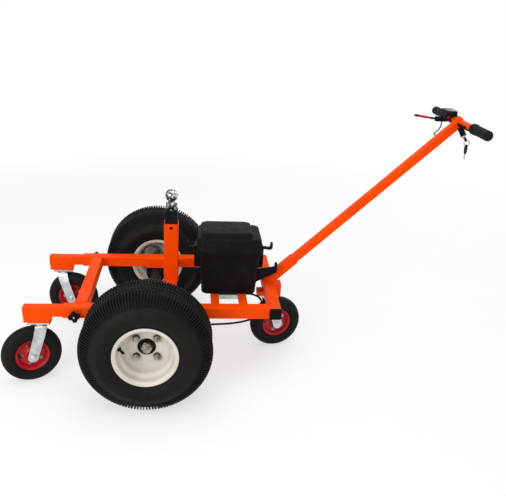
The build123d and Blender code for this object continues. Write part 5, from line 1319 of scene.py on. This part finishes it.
    def lever(self):
        """Brake lever: a black blade with a round tip, a red sleeve and a pivot screw."""
        pivot = Vector(JOINTS["brake_lever_pull"]["pos_m"])
        place = Matrix.Translation(pivot)
        blade, sleeve, screw = Shape(), Shape(), Shape()
        line = soften(self.LEVER, reach=9.0, steps=4)
        covered = [p for p in line if self.SLEEVE_END < p.x < self.SLEEVE_START]
        for shape, knots, swell in ((blade, line, 0.0), (sleeve, covered, self.SLEEVE_WALL)):
            rings = []
            for p, side in sideways(knots):
                lift = min(p.w + swell, self.LEVER_HEIGHT)
                ring = []
                for t in turns(self.LEVER_STEPS):
                    spot = p.xy + side * (p.z + swell) * cos(t)
                    ring.append((*spot, lift * sin(t)))
                rings.append(ring)
            shape.skin(place, rings)
        bends = [radians(a) for a in range(-90, 91, 15)]
        tip = [(self.TIP_HEIGHT * sin(b), max(self.TIP_RADIUS * cos(b), PINHOLE)) for b in bends]
        blade.lathe(Matrix.Translation(pivot + Vector(self.LEVER_TIP) * MM), tip, steps=32)
        blade.lathe(place, self.LEVER_ROOT, steps=40)
        blade.build("lever_blade", "lever_body", "black_paint", node="brake_lever", smooth=50.0)
        sleeve.build("lever_sleeve", "lever_body", "sleeve_rubber", "red_plastic", smooth=50.0)
        for s in (-1, 1):
            end = axes(pivot + Vector((0, 0, s * self.PIVOT_SCREW_Z * MM)), (0, 0, s), REAR)
            screw.nut(end, self.PIVOT_SCREW)
        screw.build("pivot_screw", "frame", "zinc_plate", "bare_steel")

    def keys(self):
        """Bezel on the switch, and the heads of the key and of the spare key."""
        joint = JOINTS["key_turn"]
        down = -Vector(joint["axis"])
        face = Vector(joint["pos_m"]) + down * self.SWITCH_LENGTH * MM
        bezel = Shape().lathe(axes(face, down, RIGHT), self.BEZEL, steps=40)
        bezel.build("switch_bezel", "frame", "bare_steel")
        bow = axes(face + down * self.BOW_DROP * MM, down.cross(Vector(RIGHT)), RIGHT)
        outline = circle(self.BOW_RADIUS, steps=36)
        heads = Shape().prism(bow, outline, -self.BOW_HALF, self.BOW_HALF, self.HEAD_EDGE)
        ring_x = (face + down * self.RING_DROP * MM).x
        spare = axes((ring_x, face.y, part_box("key")[0].z), REAR, UP)
        outline = soften(self.SPARE_HEAD, reach=4, steps=3, closed=True)
        heads.prism(spare, outline, -self.SPARE_HALF, self.SPARE_HALF, self.HEAD_EDGE)
        heads.build("key_heads", "key_body", "black_plastic")


OPERATORS = (
    MOVER_OT_stage,
    MOVER_OT_frame,
    MOVER_OT_drive_tyres,
    MOVER_OT_drive_rims,
    MOVER_OT_casters,
    MOVER_OT_clamp_knobs,
    MOVER_OT_ball_post,
    MOVER_OT_battery_box,
    MOVER_OT_drive_unit,
    MOVER_OT_hand_controls,
)


class MOVER_PT_panel(bpy.types.Panel):
    """Lists the mover's pieces and their settings"""

    bl_label = "Trailer mover"
    bl_space_type = "VIEW_3D"
    bl_region_type = "UI"
    bl_category = "Mover"

    def draw(self, context):
        for operator in OPERATORS:
            self.layout.operator(operator.bl_idname)
        for settings in (context.scene.mover_sizes, context.scene.mover_finishes):
            for name in settings.__annotations__:
                self.layout.prop(settings, name)


CLASSES = (MoverFinishes, MoverSizes, *OPERATORS, MOVER_PT_panel)


def register():
    for cls in CLASSES:
        bpy.utils.register_class(cls)
    bpy.types.Scene.mover_finishes = PointerProperty(type=MoverFinishes)
    bpy.types.Scene.mover_sizes = PointerProperty(type=MoverSizes)


def unregister():
    del bpy.types.Scene.mover_sizes
    del bpy.types.Scene.mover_finishes
    for cls in reversed(CLASSES):
        bpy.utils.unregister_class(cls)


def main():
    """Dresses the mover."""
    register()
    for operator in OPERATORS:
        group, name = operator.bl_idname.split(".")
        getattr(getattr(bpy.ops, group), name)()


if __name__ == "__main__":
    main()
